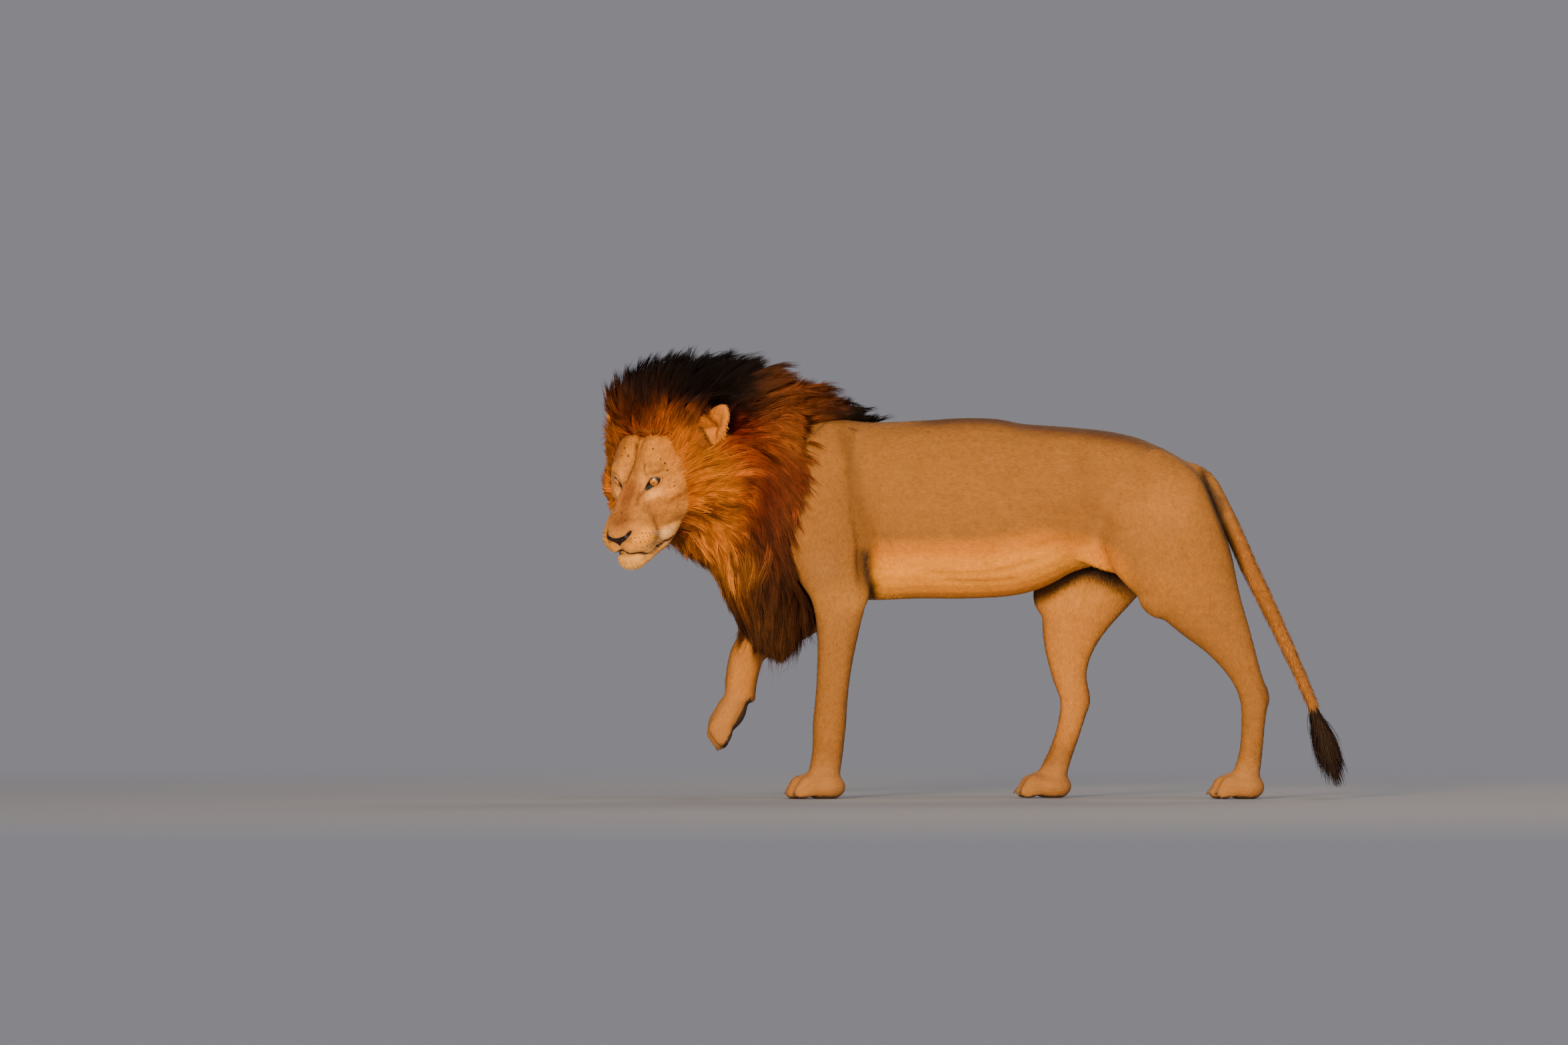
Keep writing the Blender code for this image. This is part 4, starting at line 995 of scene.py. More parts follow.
def behind_hairline(places):
    """How far each place lies behind the line where the short face hair gives way to the mane."""
    up = places[:, 2]
    line = 0.188 + 0.037 * ramp(up, 0.02, 0.1) + 0.026 * ramp(up, 0.1, 0.145)
    line = line - 0.022 * ramp(up, -0.04, -0.09) - 0.055 * ramp(up, 0.158, 0.18)
    return places[:, 0] - line


def face_share(places):
    """1 on the short-haired face, and 0 behind its hairline."""
    return ramp(behind_hairline(places), 0.012, -0.012) * within(places, (0.12, 0, 0), 0.25)


def face_colour(places):
    """places are in the head's frame."""
    folded = outward(places)
    colours = np.tile(FACE_TAN, (len(places), 1))
    for centre, radii, tint, share in FACE_TINTS:
        colours = glaze(colours, share * near(folded, centre, radii), tint)
    aside, gap = beside(folded, MOUTH, 2)
    colours = glaze(colours, bell(aside, 0.0034, 4) * ramp(gap, 0.017, 0.013), BLACK)
    gap, along = distance_to_path(folded, TEAR_LINE)
    colours = glaze(colours, bell(gap, 0.005) * (0.9 - 0.6 * along), TEAR_BROWN)
    # painted shade in the forehead's crease
    aside, gap = beside(places, CREASE, 1)
    colours = glaze(colours, 0.85 * bell(aside, 0.003) * ramp(gap, 0.014, 0.009), CREASE_SHADE)
    gap, along = distance_to_path(places, SCAR)
    colours = glaze(colours, 0.8 * bell(gap, 0.0026), SCAR_BROWN)
    for side in SIDES:
        gap, local = eye_opening(places, side)
        wide = 0.25 - 0.11 * ramp(local[:, 0], 0.2, 0.8)
        colours = glaze(colours, before_eye(local) * ramp(gap, wide, wide - 0.1), LID_DARK)
    return glaze(colours, nose_leather(places), NOSE_DARK)


def nose_leather(places):
    """1 on the bare pad of the nose: broad above, drawn in to the philtrum below."""
    out, up = np.abs(places[:, 1]), places[:, 2]
    edge = 0.001 + 0.22 * np.maximum(out - 0.01, 0)
    width = 0.003 + 0.034 * ramp(up, -0.026, 0.004)
    inside = ramp(up, edge + 0.0016, edge - 0.0008) * ramp(out, width + 0.0012, width - 0.0012)
    return inside * ramp(places[:, 0], 0.034, 0.027) * ramp(up, -0.028, -0.025)


def in_lifted_paw(points, height):
    """Points in the lifted paw's own frame, and which of them are in that paw."""
    heel, side, size, pitch = PAWS[3]
    local = moved(points, paw_place(heel, pitch).inverted())
    return local, (np.abs(local) < (0.2, 0.09, height)).all(1) & (local[:, 0] < 0.01)


def paw_share(points):
    """1 on the paws, but for the tail's tip, which hangs as low."""
    share = ramp(points[:, 2], 0.13, 0.07)
    return np.maximum(share * (points[:, 0] < 1.03), in_lifted_paw(points, 0.09)[1])


def tail_share(points):
    """1 on the tail below its root."""
    gap, along = distance_to_path(points, [row[:3] for row in TAIL])
    return ramp(gap, 0.06, 0.04) * ramp(points[:, 0], 0.8, 0.86)


def body_colour(points, normals):
    folded = outward(points)
    colours = np.tile(TAN, (len(points), 1))
    for centre, radii, tint, share in BODY_TINTS:
        colours = glaze(colours, share * near(folded, centre, radii), tint)
    line = np.interp(points[:, 0], *np.array(FLANK_LINE).T)
    below = line - points[:, 2]
    right = ramp(points[:, 1], -0.03, 0.05)
    end = 0.58 - 0.34 * right
    # the lower flank's band: the coat's own paler underside, with painted light where the low light falls,
    # faint on the right side
    low = ramp(points[:, 0], -0.185, -0.16) * ramp(points[:, 0], end, end - 0.12)
    low = low * ramp(points[:, 2], 0.5, 0.53) * (1 - 0.85 * right)
    colours = glaze(colours, 0.75 * low * ramp(below, -0.035, 0.02), FLANK_ORANGE)
    colours = glaze(colours, 0.85 * low * ramp(below, 0.005, 0.07), FLANK_CREAM)
    # painted shadow in the arch between the belly and the far thigh, on the faces that turn inwards
    inner = ramp(-np.sign(points[:, 1]) * normals[:, 1], 0.0, 0.4)
    gap, along = on_flanks(points, THIGH_ARCH)
    colours = glaze(colours, 0.95 * inner * bell(gap, 0.036, 4), ARCH_SHADOW)
    # painted shade along the creases, fainter on the right side
    for path, width, dark, depth in SHADED_LINES:
        colours = colours * (1 - (1 - 0.8 * right) * along_line(points, path, width, dark))[:, None]
    # painted shade along the top of the back, which faces up while the light comes from low
    strip = ramp(folded[:, 1], 0.11, 0.05) * ramp(normals[:, 2], 0.12, 0.5)
    strip = strip * ramp(points[:, 0], -0.12, 0.02) * ramp(points[:, 0], 0.72, 0.5)
    colours = glaze(colours, 0.85 * strip, DORSAL_SHADE)
    inner = ramp(-np.sign(points[:, 1]) * normals[:, 1], 0.1, 0.8) * ramp(points[:, 2], 0.62, 0.5)
    colours = glaze(colours, 0.75 * inner * ramp(points[:, 2], 0.12, 0.2), INNER_LEG)
    colours = glaze(colours, 0.7 * paw_share(points), PAW_TAN)
    local, lifted = in_lifted_paw(points, 0.05)
    sole = ((normals[:, 2] < -0.6) & (points[:, 2] < 0.008)) | ((local[:, 2] < 0.01) & lifted)
    colours = glaze(colours, 0.9 * sole, PAD)
    colours = glaze(colours, 0.8 * tail_share(points), TAIL_TAN)
    return glaze(colours, ramp(points[:, 2], 0.262, 0.235) * (points[:, 0] > 1.0), BLACK)


def columns(hints, k):
    return np.array([hint[k] for hint in hints])


def blended(points, hints, sizes):
    """Which hint counts how much at each point: soft shares that add up to 1."""
    spots = columns(hints, 0)
    gaps = np.linalg.norm(points[:, None, : spots.shape[1]] - spots[None], axis=2) / sizes
    weights = np.exp(-(gaps**2)) + 1e-6 / (gaps**4 + 0.01)
    return weights / weights.sum(1, keepdims=True)


def mane_colours(points):
    """The colour at the root and at the tip of a lock."""
    shares = blended(points[:, (0, 2)], MANE_TINTS, columns(MANE_TINTS, 1))
    roots, tips = (shares @ columns(MANE_TINTS, k) for k in (2, 3))
    places = to_head(points)
    shares = blended(outward(places), RUFF_TINTS, columns(RUFF_TINTS, 1))
    ruff = (head_share(places) * ramp(places[:, 0], 0.365, 0.31))[:, None]
    for colours, k in ((roots, 2), (tips, 3)):
        colours += ruff * (shares @ columns(RUFF_TINTS, k) - colours)
    return roots, tips


def mane_share(points, core_tree):
    """1 where the mane grows: on its felted core and on the head behind the hairline."""
    gaps = np.array([core_tree.find_nearest(point)[3] for point in points])
    places = to_head(points)
    on_head = ramp(behind_hairline(places), 0, 0.012) * (head_share(places) > 0.2)
    return np.maximum(ramp(gaps, 0.016, 0.008), on_head) * (1 - face_share(places)) * (1 - ear_share(places))


def markings_and_painted_light(points, normals, mane):
    """The colour of the skin or of a root anywhere: its markings, with painted light and shade. mane is 1 in
    the mane.
    """
    places = to_head(points)
    face = ramp(places[:, 0], 0.34, 0.26) * within(places, (0.16, 0, 0), 0.26)
    colours = body_colour(points, normals)
    colours = colours + face[:, None] * (face_colour(places) - colours)
    ears = ear_share(places)
    back = ramp(unit(turned_by(normals, TO_HEAD))[:, 0], 0.1, 0.5)
    colours = glaze(colours, ears, EAR_GOLD)
    # painted shade in the ear's hollow
    colours = glaze(colours, 0.9 * ears * ear_hollow(places), EAR_HOLLOW_SHADE)
    colours = glaze(colours, 0.9 * ears * back * ramp(places[:, 2], 0.08, 0.11), EAR_BACK)
    colours = glaze(colours, 0.8 * ear_brush(places)[0], EAR_HAIR)
    colours = colours * (1 + (0.07 + 0.11 * face) * mottling(points))[:, None]
    # painted shade in the slit at the ear's foot
    gap, along = distance_to_path(outward(places), EAR_SLIT)
    colours = glaze(colours, 0.95 * bell(gap, 0.011, 4), SLIT_SHADE)
    roots, tips = mane_colours(points)
    mane = (mane * (1 - ears))[:, None]
    return colours + mane * (0.75 * roots + 0.15 * tips - colours)


def mottling(points):
    """An unevenness of the coat, about -1 to 1."""
    broad, fine = (np.array([noise_at(p) for p in (points * scale).tolist()]) for scale in ((28, 28, 40), 90))
    return broad + fine


def ear_share(places):
    """1 on either ear."""
    share = np.zeros(len(places))
    for side in SIDES:
        local = in_ear_axes(places, side) / (0.046, 0.05, 0.074)
        share = np.maximum(share, ramp(np.linalg.norm(local, axis=1), 1.08, 0.96) * (local[:, 2] > -0.55))
    return share


def ear_hollow(places):
    """1 deep in either ear's hollow, where shade is painted."""
    share = np.zeros(len(places))
    for side in SIDES:
        local = in_ear_axes(places, side)
        deep = np.exp(-(((local[:, 1] - 0.014) / 0.02) ** 2) - ((local[:, 2] + 0.024) / 0.024) ** 2)
        share = np.maximum(share, deep * ramp(local[:, 0], 0.016, 0.004))
    return share


def ear_brush(places):
    """1 where long hair grows out of the front edge of either ear's hollow, and the way it lies."""
    share, ways = np.zeros(len(places)), np.zeros((len(places), 3))
    for side in SIDES:
        local = in_ear_axes(places, side)
        here = ramp(local[:, 0], 0.02, 0.008) * ramp(local[:, 1], -0.004, 0.012)
        here = here * ramp(local[:, 2], 0.016, -0.01)
        here = here * within(local, 0, 0.072)
        share = np.maximum(share, here)
        up = HEAD_POSE.to_3x3() @ ear_place(side).to_3x3() @ Vector((0, -0.35, 1))
        ways[here > 0] = np.array(up.normalized())
    return share, ways


def elbow_crease(points):
    """1 in the crease behind the left elbow, which is painted with shade, and where no tuft grows."""
    gap, along = on_flanks(points, ELBOW_LINE)
    return bell(gap, 0.016, 4) * (points[:, 1] < 0)


# ---------------------------------------------------------------- growing the coat
class Ground:
    """The skin as triangles to plant on, with an unwrap of its own shape."""

    UNWRAP_FACES = 9000

    def __init__(self, skin):
        mesh = skin.data
        mesh.calc_loop_triangles()
        self.triangles = read_out(mesh.loop_triangles, "vertices", 3, np.int32)
        self.points = points_of(skin)
        self.normals = normals_of(skin)
        a, b, c = (self.points[self.triangles[:, k]] for k in range(3))
        self.areas = np.linalg.norm(np.cross(b - a, c - a), axis=1) / 2
        self.tree = BVHTree.FromPolygons(self.points.tolist(), self.triangles.tolist())
        self.unwrap(skin)

    def unwrap(self, skin):
        """Unwrap a coarser copy of the skin, and keep its triangles in space and on the chart."""
        coarse = mesh_object("unwrap", skin.data.copy())
        thin = coarse.modifiers.new("thin", "DECIMATE")
        thin.ratio = self.UNWRAP_FACES / len(self.triangles)
        apply_modifiers(coarse)
        bpy.ops.object.select_all(action="DESELECT")
        coarse.select_set(True)
        bpy.context.view_layer.objects.active = coarse
        bpy.ops.object.mode_set(mode="EDIT")
        bpy.ops.mesh.select_all(action="SELECT")
        bpy.ops.mesh.quads_convert_to_tris()
        bpy.ops.uv.smart_project(angle_limit=math.radians(66), island_margin=0.004)
        bpy.ops.object.mode_set(mode="OBJECT")
        mesh = coarse.data
        spots = points_of(coarse)
        corners = read_out(mesh.loops, "vertex_index", 1, np.int32).reshape(-1, 3)
        self.chart_corners = spots[corners]
        self.chart_places = read_out(mesh.uv_layers.active.data, "uv", 2).reshape(-1, 3, 2)
        self.chart_tree = BVHTree.FromPolygons(spots.tolist(), corners.tolist())
        remove(coarse)

    def chart(self, points):
        """The place of each point on the unwrap."""
        found = [self.chart_tree.find_nearest(point) for point in points]
        feet, faces = columns(found, 0), columns(found, 2)
        a, b, c = (self.chart_corners[faces, k] for k in range(3))
        whole = np.cross(b - a, c - a)
        size = np.maximum((whole**2).sum(1), 1e-18)
        share_b = (np.cross(feet - a, c - a) * whole).sum(1) / size
        share_c = (np.cross(b - a, feet - a) * whole).sum(1) / size
        shares = np.clip(np.column_stack([1 - share_b - share_c, share_b, share_c]), 0, 1)
        return (self.chart_places[faces] * shares[:, :, None]).sum(1)

    def sprinkle(self, count, share):
        """Roots strewn over the skin, as densely as each vertex's share says: points and normals."""
        weights = self.areas * share[self.triangles].mean(1)
        picks = RANDOM.choice(len(weights), count, p=weights / weights.sum())
        u, v = RANDOM.random((2, count, 1))
        over = u + v > 1
        u, v = np.where(over, 1 - u, u), np.where(over, 1 - v, v)
        shares = list(zip((1 - u - v, u, v), self.triangles[picks].T))
        points, normals = (
            sum(share * values[corner] for share, corner in shares) for values in (self.points, self.normals)
        )
        return points, unit(normals)


OFBAKE_PATCH = 0.003  # a tuft's share of the unwrap, edge to edge
ROOT_DEPTH = 0.0012  # how deep a short tuft's root lies in the skin


def coat_mesh(name, points, triangles, tints, places, normals=None, own_weight=0):
    """A mesh from arrays, with each vertex's tint and place on the unwrap, shaded as the form it lies on."""
    mesh = bpy.data.meshes.new(name)
    mesh.vertices.add(len(points))
    mesh.vertices.foreach_set("co", points.astype(np.float32).ravel())
    mesh.loops.add(triangles.size)
    mesh.loops.foreach_set("vertex_index", triangles.astype(np.int32).ravel())
    mesh.polygons.add(len(triangles))
    mesh.polygons.foreach_set("loop_start", np.arange(0, triangles.size, 3, dtype=np.int32))
    mesh.polygons.foreach_set("use_smooth", np.ones(len(triangles), bool))
    mesh.update()
    paint(mesh, tints)
    layer = mesh.uv_layers.new(name="OFBake")
    layer.data.foreach_set("uv", places[triangles.ravel()].astype(np.float32).ravel())
    if normals is not None:
        soft = unit(normals + own_weight * read_out(mesh.vertices, "normal", 3))
        mesh.normals_split_custom_set_from_vertices(soft.astype(np.float32))
    return mesh_object(name, mesh)


def paint(mesh, tints):
    """Keep the tints in the mesh. One that is brighter than white is dimmed, with its hue kept."""
    attribute = mesh.color_attributes.new("tint", "FLOAT_COLOR", "POINT")
    tints = np.maximum(tints / np.maximum(1, np.max(tints, axis=1, keepdims=True)), 0.001)
    colours = np.column_stack([tints, np.ones(len(tints))])
    attribute.data.foreach_set("color", colours.astype(np.float32).ravel())


def patches(root_places, across, along):
    """Each tuft's small patch on the unwrap. across and along run over its vertices, from -0.5 to 0.5."""
    offsets = np.stack(np.broadcast_arrays(across, along), axis=-1) * OFBAKE_PATCH
    return (root_places[:, None] + offsets).reshape(-1, 2)


def blades(name, roots, normals, ways, lengths, widths, lifts, tints, ground):
    """Short tufts that lie along the body: flat kites of two triangles."""
    count = len(roots)
    ways = unit(ways - normals * (ways * normals).sum(1, keepdims=True))
    sides = np.cross(normals, ways) * (widths / 2)[:, None]
    rise = (lengths * lifts)[:, None] * normals
    middle = roots + ways * (lengths * 0.5)[:, None] + rise * 0.62
    tips = roots + ways * lengths[:, None] + rise
    points = np.stack([roots - normals * ROOT_DEPTH, middle - sides, middle + sides, tips], 1).reshape(-1, 3)
    first = 4 * np.arange(count)[:, None]
    triangles = np.stack([first + (0, 1, 2), first + (2, 1, 3)], 1).reshape(-1, 3)
    shade = np.array((0.95, 1.0, 1.0, 1.03))[None, :, None]
    colours = (tints[:, None] * shade).reshape(-1, 3)
    places = patches(ground.chart(roots), np.array((0, -0.5, 0.5, 0)), np.array((-0.5, 0, 0, 0.5)))
    return coat_mesh(name, points, triangles, colours, places, np.repeat(normals, 4, 0), 0.25)


def ribbons(name, spines, normals, widths, root_tints, tip_tints, ground):
    """Long locks: tapered ribbons along their spines, an array of tufts x points x 3."""
    count, steps = spines.shape[:2]
    along = np.linspace(0, 1, steps)
    ways = unit(np.gradient(spines, axis=1))
    sides = unit(np.cross(normals[:, None], ways))
    turned = unit(np.cross(ways, sides))
    roll = np.clip(RANDOM.normal(0, 0.6, (count, 1, 1)), -1.2, 1.2)
    sides = np.cos(roll) * sides + np.sin(roll) * turned
    taper = np.clip(np.minimum(0.55 + 1.6 * along, 1.35 * (1 - along) ** 0.7), 0, 1)
    half = sides * (widths[:, None] * taper / 2)[..., None]
    rings = np.stack([spines - half, spines + half], 2)[:, :-1].reshape(count, -1, 3)
    points = np.concatenate([rings, spines[:, -1:]], 1)
    each = points.shape[1]
    faces = []
    for k in range(steps - 2):
        a, b, c, d = 2 * k, 2 * k + 1, 2 * k + 3, 2 * k + 2
        faces += [(a, c, b), (a, d, c)]
    faces.append((each - 3, each - 1, each - 2))
    triangles = (each * np.arange(count)[:, None, None] + np.array(faces)[None]).reshape(-1, 3)
    t = np.append(np.repeat(along[:-1], 2), 1.0)
    mix = ramp(t, 0.15, 0.95)[None, :, None]
    colours = root_tints[:, None] * (1 - mix) + tip_tints[:, None] * mix
    # painted shade: each lock darker towards its root
    colours = colours * (0.7 + 0.3 * ramp(t, 0, 0.35))[None, :, None]
    across = np.append(np.tile((-0.5, 0.5), steps - 1), 0)
    places = patches(ground.chart(spines[:, 0]), across, t - 0.5)
    soft = np.repeat(normals, each, 0)
    return coat_mesh(name, points.reshape(-1, 3), triangles, colours.reshape(-1, 3), places, soft, 0.35)


PIECE_LIMIT = 190_000  # triangles in a piece of the coat


def in_pieces(name, build, arrays, triangles_each, ground):
    """Pieces of the coat, each under the limit. The arrays have a row for each tuft."""
    count = len(arrays[0])
    number = math.ceil(count * triangles_each / PIECE_LIMIT)
    cuts = np.linspace(0, count, number + 1).astype(int)
    pieces = []
    for k in range(number):
        part = slice(*cuts[k : k + 2])
        pieces.append(build(f"{name}_{k + 1}", *(rows[part] for rows in arrays), ground))
    return pieces


# ---------------------------------------------------------------- the lie of the coat
BODY_LIE = [  # x and z, then the way the hair points in x and z
    ((0.1, 0.95), (1.0, -0.12)),
    ((0.4, 0.95), (1.0, -0.2)),
    ((0.1, 0.7), (1.0, -0.35)),
    ((0.2, 0.56), (1.0, -0.25)),
    ((-0.18, 0.98), (0.9, -0.45)),
    ((-0.3, 0.9), (0.55, -0.85)),
    ((-0.3, 0.7), (0.2, -1.0)),
    ((-0.28, 0.4), (0.05, -1.0)),
    ((-0.38, 0.52), (-0.5, -0.8)),
    ((-0.53, 0.35), (-0.15, -1.0)),
    ((-0.29, 0.15), (0.0, -1.0)),
    ((0.45, 0.8), (0.9, -0.6)),
    ((0.65, 0.9), (0.85, -0.6)),
    ((0.65, 0.7), (0.45, -0.9)),
    ((0.48, 0.62), (0.1, -1.0)),
    ((0.38, 0.4), (0.0, -1.0)),
    ((0.38, 0.2), (-0.1, -1.0)),
    ((0.78, 0.5), (0.45, -0.9)),
    ((0.88, 0.25), (0.0, -1.0)),
    ((0.86, 0.76), (0.42, -0.9)),
    ((0.94, 0.52), (0.42, -0.9)),
    ((1.04, 0.28), (0.4, -0.92)),
    ((-0.33, 0.03), (-1.0, -0.3)),
    ((0.84, 0.03), (-1.0, -0.3)),
    ((0.3, 0.03), (-1.0, -0.3)),
]
FACE_LIE = [  # back, outwards, up, then the way the hair points, in the head's frame
    ((0.02, 0.0, 0.01), (0.5, 0.1, 0.9)),
    ((0.1, 0.0, 0.06), (0.9, 0.05, 0.45)),
    ((0.2, 0.03, 0.12), (0.8, 0.2, 0.6)),
    ((0.25, 0.05, 0.14), (0.75, 0.2, 0.65)),
    ((0.1, 0.05, 0.02), (0.9, 0.45, -0.05)),
    ((0.15, 0.08, 0.01), (0.9, 0.5, -0.2)),
    ((0.22, 0.11, 0.04), (0.85, 0.6, 0.0)),
    ((0.18, 0.09, 0.08), (0.85, 0.5, 0.3)),
    ((0.05, 0.05, -0.02), (0.55, 0.75, -0.35)),
    ((0.02, 0.02, -0.03), (0.25, 0.7, -0.6)),
    ((0.1, 0.06, -0.05), (0.8, 0.3, -0.5)),
    ((0.03, 0.0, -0.09), (0.4, 0.1, -0.9)),
    ((0.15, 0.04, -0.1), (0.85, 0.15, -0.5)),
    ((0.22, 0.09, -0.07), (0.8, 0.3, -0.5)),
]
MANE_LIE = [  # x and z, then the way it points in x and z, how far it stands out, and its length
    ((-0.9, 1.08), (-0.3, 0.9), 0.55, 0.06),
    ((-0.87, 1.15), (-0.25, 1.0), 0.7, 0.075),
    ((-0.8, 1.19), (0.1, 1.0), 0.8, 0.085),
    ((-0.74, 1.19), (0.35, 0.95), 0.85, 0.1),
    ((-0.64, 1.19), (0.7, 0.75), 0.75, 0.115),
    ((-0.52, 1.17), (0.85, 0.5), 0.6, 0.11),
    ((-0.4, 1.14), (0.95, 0.25), 0.5, 0.1),
    ((-0.3, 1.11), (1.0, -0.05), 0.45, 0.07),
    ((-0.2, 1.08), (1.0, -0.3), 0.3, 0.04),
    ((-0.64, 1.06), (0.8, 0.45), 0.35, 0.12),
    ((-0.5, 1.04), (0.95, 0.05), 0.3, 0.13),
    ((-0.4, 1.02), (0.85, -0.55), 0.25, 0.06),
    ((-0.345, 1.0), (0.6, -0.8), 0.12, 0.045),
    ((-0.52, 0.94), (0.85, -0.5), 0.25, 0.15),
    ((-0.4, 0.93), (0.55, -0.8), 0.25, 0.06),
    ((-0.5, 0.84), (0.5, -0.85), 0.2, 0.17),
    ((-0.385, 0.82), (0.35, -0.93), 0.25, 0.07),
    ((-0.48, 0.74), (0.25, -0.97), 0.2, 0.18),
    ((-0.385, 0.7), (0.15, -0.98), 0.25, 0.08),
    ((-0.58, 0.72), (0.3, -0.95), 0.25, 0.15),
    ((-0.46, 0.62), (0.05, -1.0), 0.2, 0.18),
    ((-0.54, 0.6), (0.2, -1.0), 0.25, 0.16),
    ((-0.56, 0.53), (0.25, -1.0), 0.06, 0.07),
    ((-0.43, 0.5), (0.0, -1.0), 0.15, 0.11),
    ((-0.42, 0.44), (0.0, -1.0), 0.15, 0.06),
]
RUFF_LIE = [  # the same in the head's frame: back, outwards, up
    ((0.265, 0.0, 0.17), (0.55, 0.0, 0.85), 0.45, 0.07),
    ((0.265, 0.09, 0.14), (0.6, 0.4, 0.65), 0.45, 0.075),
    ((0.265, 0.14, 0.07), (0.75, 0.6, 0.2), 0.35, 0.075),
    ((0.27, 0.155, 0.0), (0.85, 0.5, -0.1), 0.3, 0.09),
    ((0.28, 0.15, -0.07), (0.8, 0.35, -0.4), 0.3, 0.1),
    ((0.27, 0.1, -0.13), (0.7, 0.2, -0.65), 0.3, 0.11),
    ((0.27, 0.0, -0.15), (0.6, 0.0, -0.8), 0.25, 0.1),
    ((0.35, 0.2, 0.02), (0.9, 0.3, -0.3), 0.3, 0.12),
    ((0.35, 0.18, -0.08), (0.8, 0.2, -0.55), 0.3, 0.13),
    ((0.35, 0.1, 0.18), (0.75, 0.2, 0.6), 0.5, 0.09),
]
STEPS = 5  # points along a lock of the mane
BODY_REACH, FACE_REACH, MANE_REACH = 0.11, 0.035, 0.055  # how far a hint counts


def flank_flow(points, hints, size):
    """The hints' shares, and the way the hair points, for hints in x and z."""
    shares = blended(points[:, (0, 2)], hints, size)
    flow = shares @ columns(hints, 1)
    return shares, np.column_stack([flow[:, 0], np.zeros(len(flow)), flow[:, 1]])


def head_flow(places, hints, size):
    """flank_flow for hints in the head's frame."""
    shares = blended(outward(places), hints, size)
    flow = shares @ columns(hints, 1)
    flow[:, 1] *= np.sign(places[:, 1])
    return shares, turned_by(flow, HEAD_POSE)


def body_lie(points, places):
    """The way the short coat points. places are the points in the head's frame."""
    ways = flank_flow(points, BODY_LIE, BODY_REACH)[1]
    turned = head_flow(places, FACE_LIE, FACE_REACH)[1]
    on_face = ramp(places[:, 0], 0.32, 0.24) * within(places, (0.16, 0, 0), 0.26)
    return unit(ways + on_face[:, None] * (turned - ways))


def mane_lie(points):
    """The way a lock sets off, how far it stands out, and its length."""
    shares, ways = flank_flow(points, MANE_LIE, MANE_REACH)
    stands, lengths = shares @ columns(MANE_LIE, 2), shares @ columns(MANE_LIE, 3)
    places = to_head(points)
    shares, turned = head_flow(places, RUFF_LIE, MANE_REACH)
    ruff = head_share(places)
    ways = unit(ways + ruff[:, None] * (unit(turned) - ways))
    stands = stands + ruff * (shares @ columns(RUFF_LIE, 2) - stands)
    lengths = lengths + ruff * (shares @ columns(RUFF_LIE, 3) - lengths)
    far = ruff * ramp(places[:, 1], 0.05, 0.11) * ramp(places[:, 2], 0.14, 0.09)
    young = ramp(behind_hairline(places), 0.03, 0.0) * (ruff > 0)
    return ways, stands * (1 - 0.7 * far), lengths * (1 - 0.6 * young) * (1 - 0.45 * far)


EAR_FACES = (-1.0, -0.8, 0.8)  # the way the left ear opens, in its own axes


def clear_of_ears(spines):
    """Shorten the locks that would hide the left ear's hollow or rim. Hair half covers the right one."""
    local = in_ear_axes(to_head(spines.reshape(-1, 3)), LEFT).reshape(spines.shape)
    ahead = np.maximum(-local[..., 0], 0)
    y, z = (local[..., k] - EAR_FACES[k] * ahead for k in (1, 2))
    over = np.hypot((y - 0.006) / 0.05, (z + 0.002) / 0.074) < 1
    over &= (local[..., 0] > -0.09) & (local[..., 0] < 0.03)
    over[:, 0] = False
    first = np.where(over.any(1), over.argmax(1), STEPS)
    share = np.clip((first - 0.6) / (STEPS - 1), 0.12, 1)
    return spines[:, :1] + (spines - spines[:, :1]) * share[:, None, None]


def faces_up(normals):
    return ramp(normals[:, 2], 0.35, 0.8)


def mane_rise(points, normals):
    """How far above the core the tips may stand."""
    crest = faces_up(normals) * ramp(points[:, 2], 0.95, 1.05)
    return 0.024 + (0.042 - 0.026 * ramp(points[:, 0], -0.45, -0.25)) * crest


def feet_of(points, tree):
    """The place nearest to each point on the tree's surface, and the way that it faces."""
    found = [tree.find_nearest(point) for point in points]
    return columns(found, 0), columns(found, 1)


def combed(roots, normals, tree, spread, clearance):
    """Spines that set off from the roots and follow the mane's form, each to its own height above it."""
    count = len(roots)
    ways, stands, lengths = mane_lie(roots)
    crest = faces_up(normals)
    lengths = lengths * RANDOM.lognormal(0, 0.2 + 0.12 * crest, count)
    wander = RANDOM.normal(0, spread, (count, 3)) * (1 + 0.9 * crest)[:, None]
    ceiling = RANDOM.uniform(0.3, 1.2, count)
    spines = np.empty((count, STEPS, 3))
    spines[:, 0] = roots
    here = roots.copy()
    step = lengths / (STEPS - 1)
    for k in range(1, STEPS):
        feet, out = feet_of(here, tree)
        ways, stands = mane_lie(here)[:2]
        ways = ways - out * (ways * out).sum(1, keepdims=True) * 0.7
        t = k / (STEPS - 1)
        heading = unit(unit(ways) + wander * (0.5 + t) + out * (stands * (1.05 - 0.75 * t))[:, None])
        here = here + heading * step[:, None]
        feet, out = feet_of(here, tree)
        height = ((here - feet) * out).sum(1)
        low, high = 0.002 + clearance * t, 0.008 + mane_rise(here, out) * t**0.8
        high = high * (1 - crest * (1 - ceiling))
        here = here + out * np.clip(np.clip(height, low, high) - height, -0.6 * step, 0.6 * step)[:, None]
        spines[:, k] = here
    spines[:, 1:-1] = (spines[:, :-2] + 2 * spines[:, 1:-1] + spines[:, 2:]) / 4
    return spines


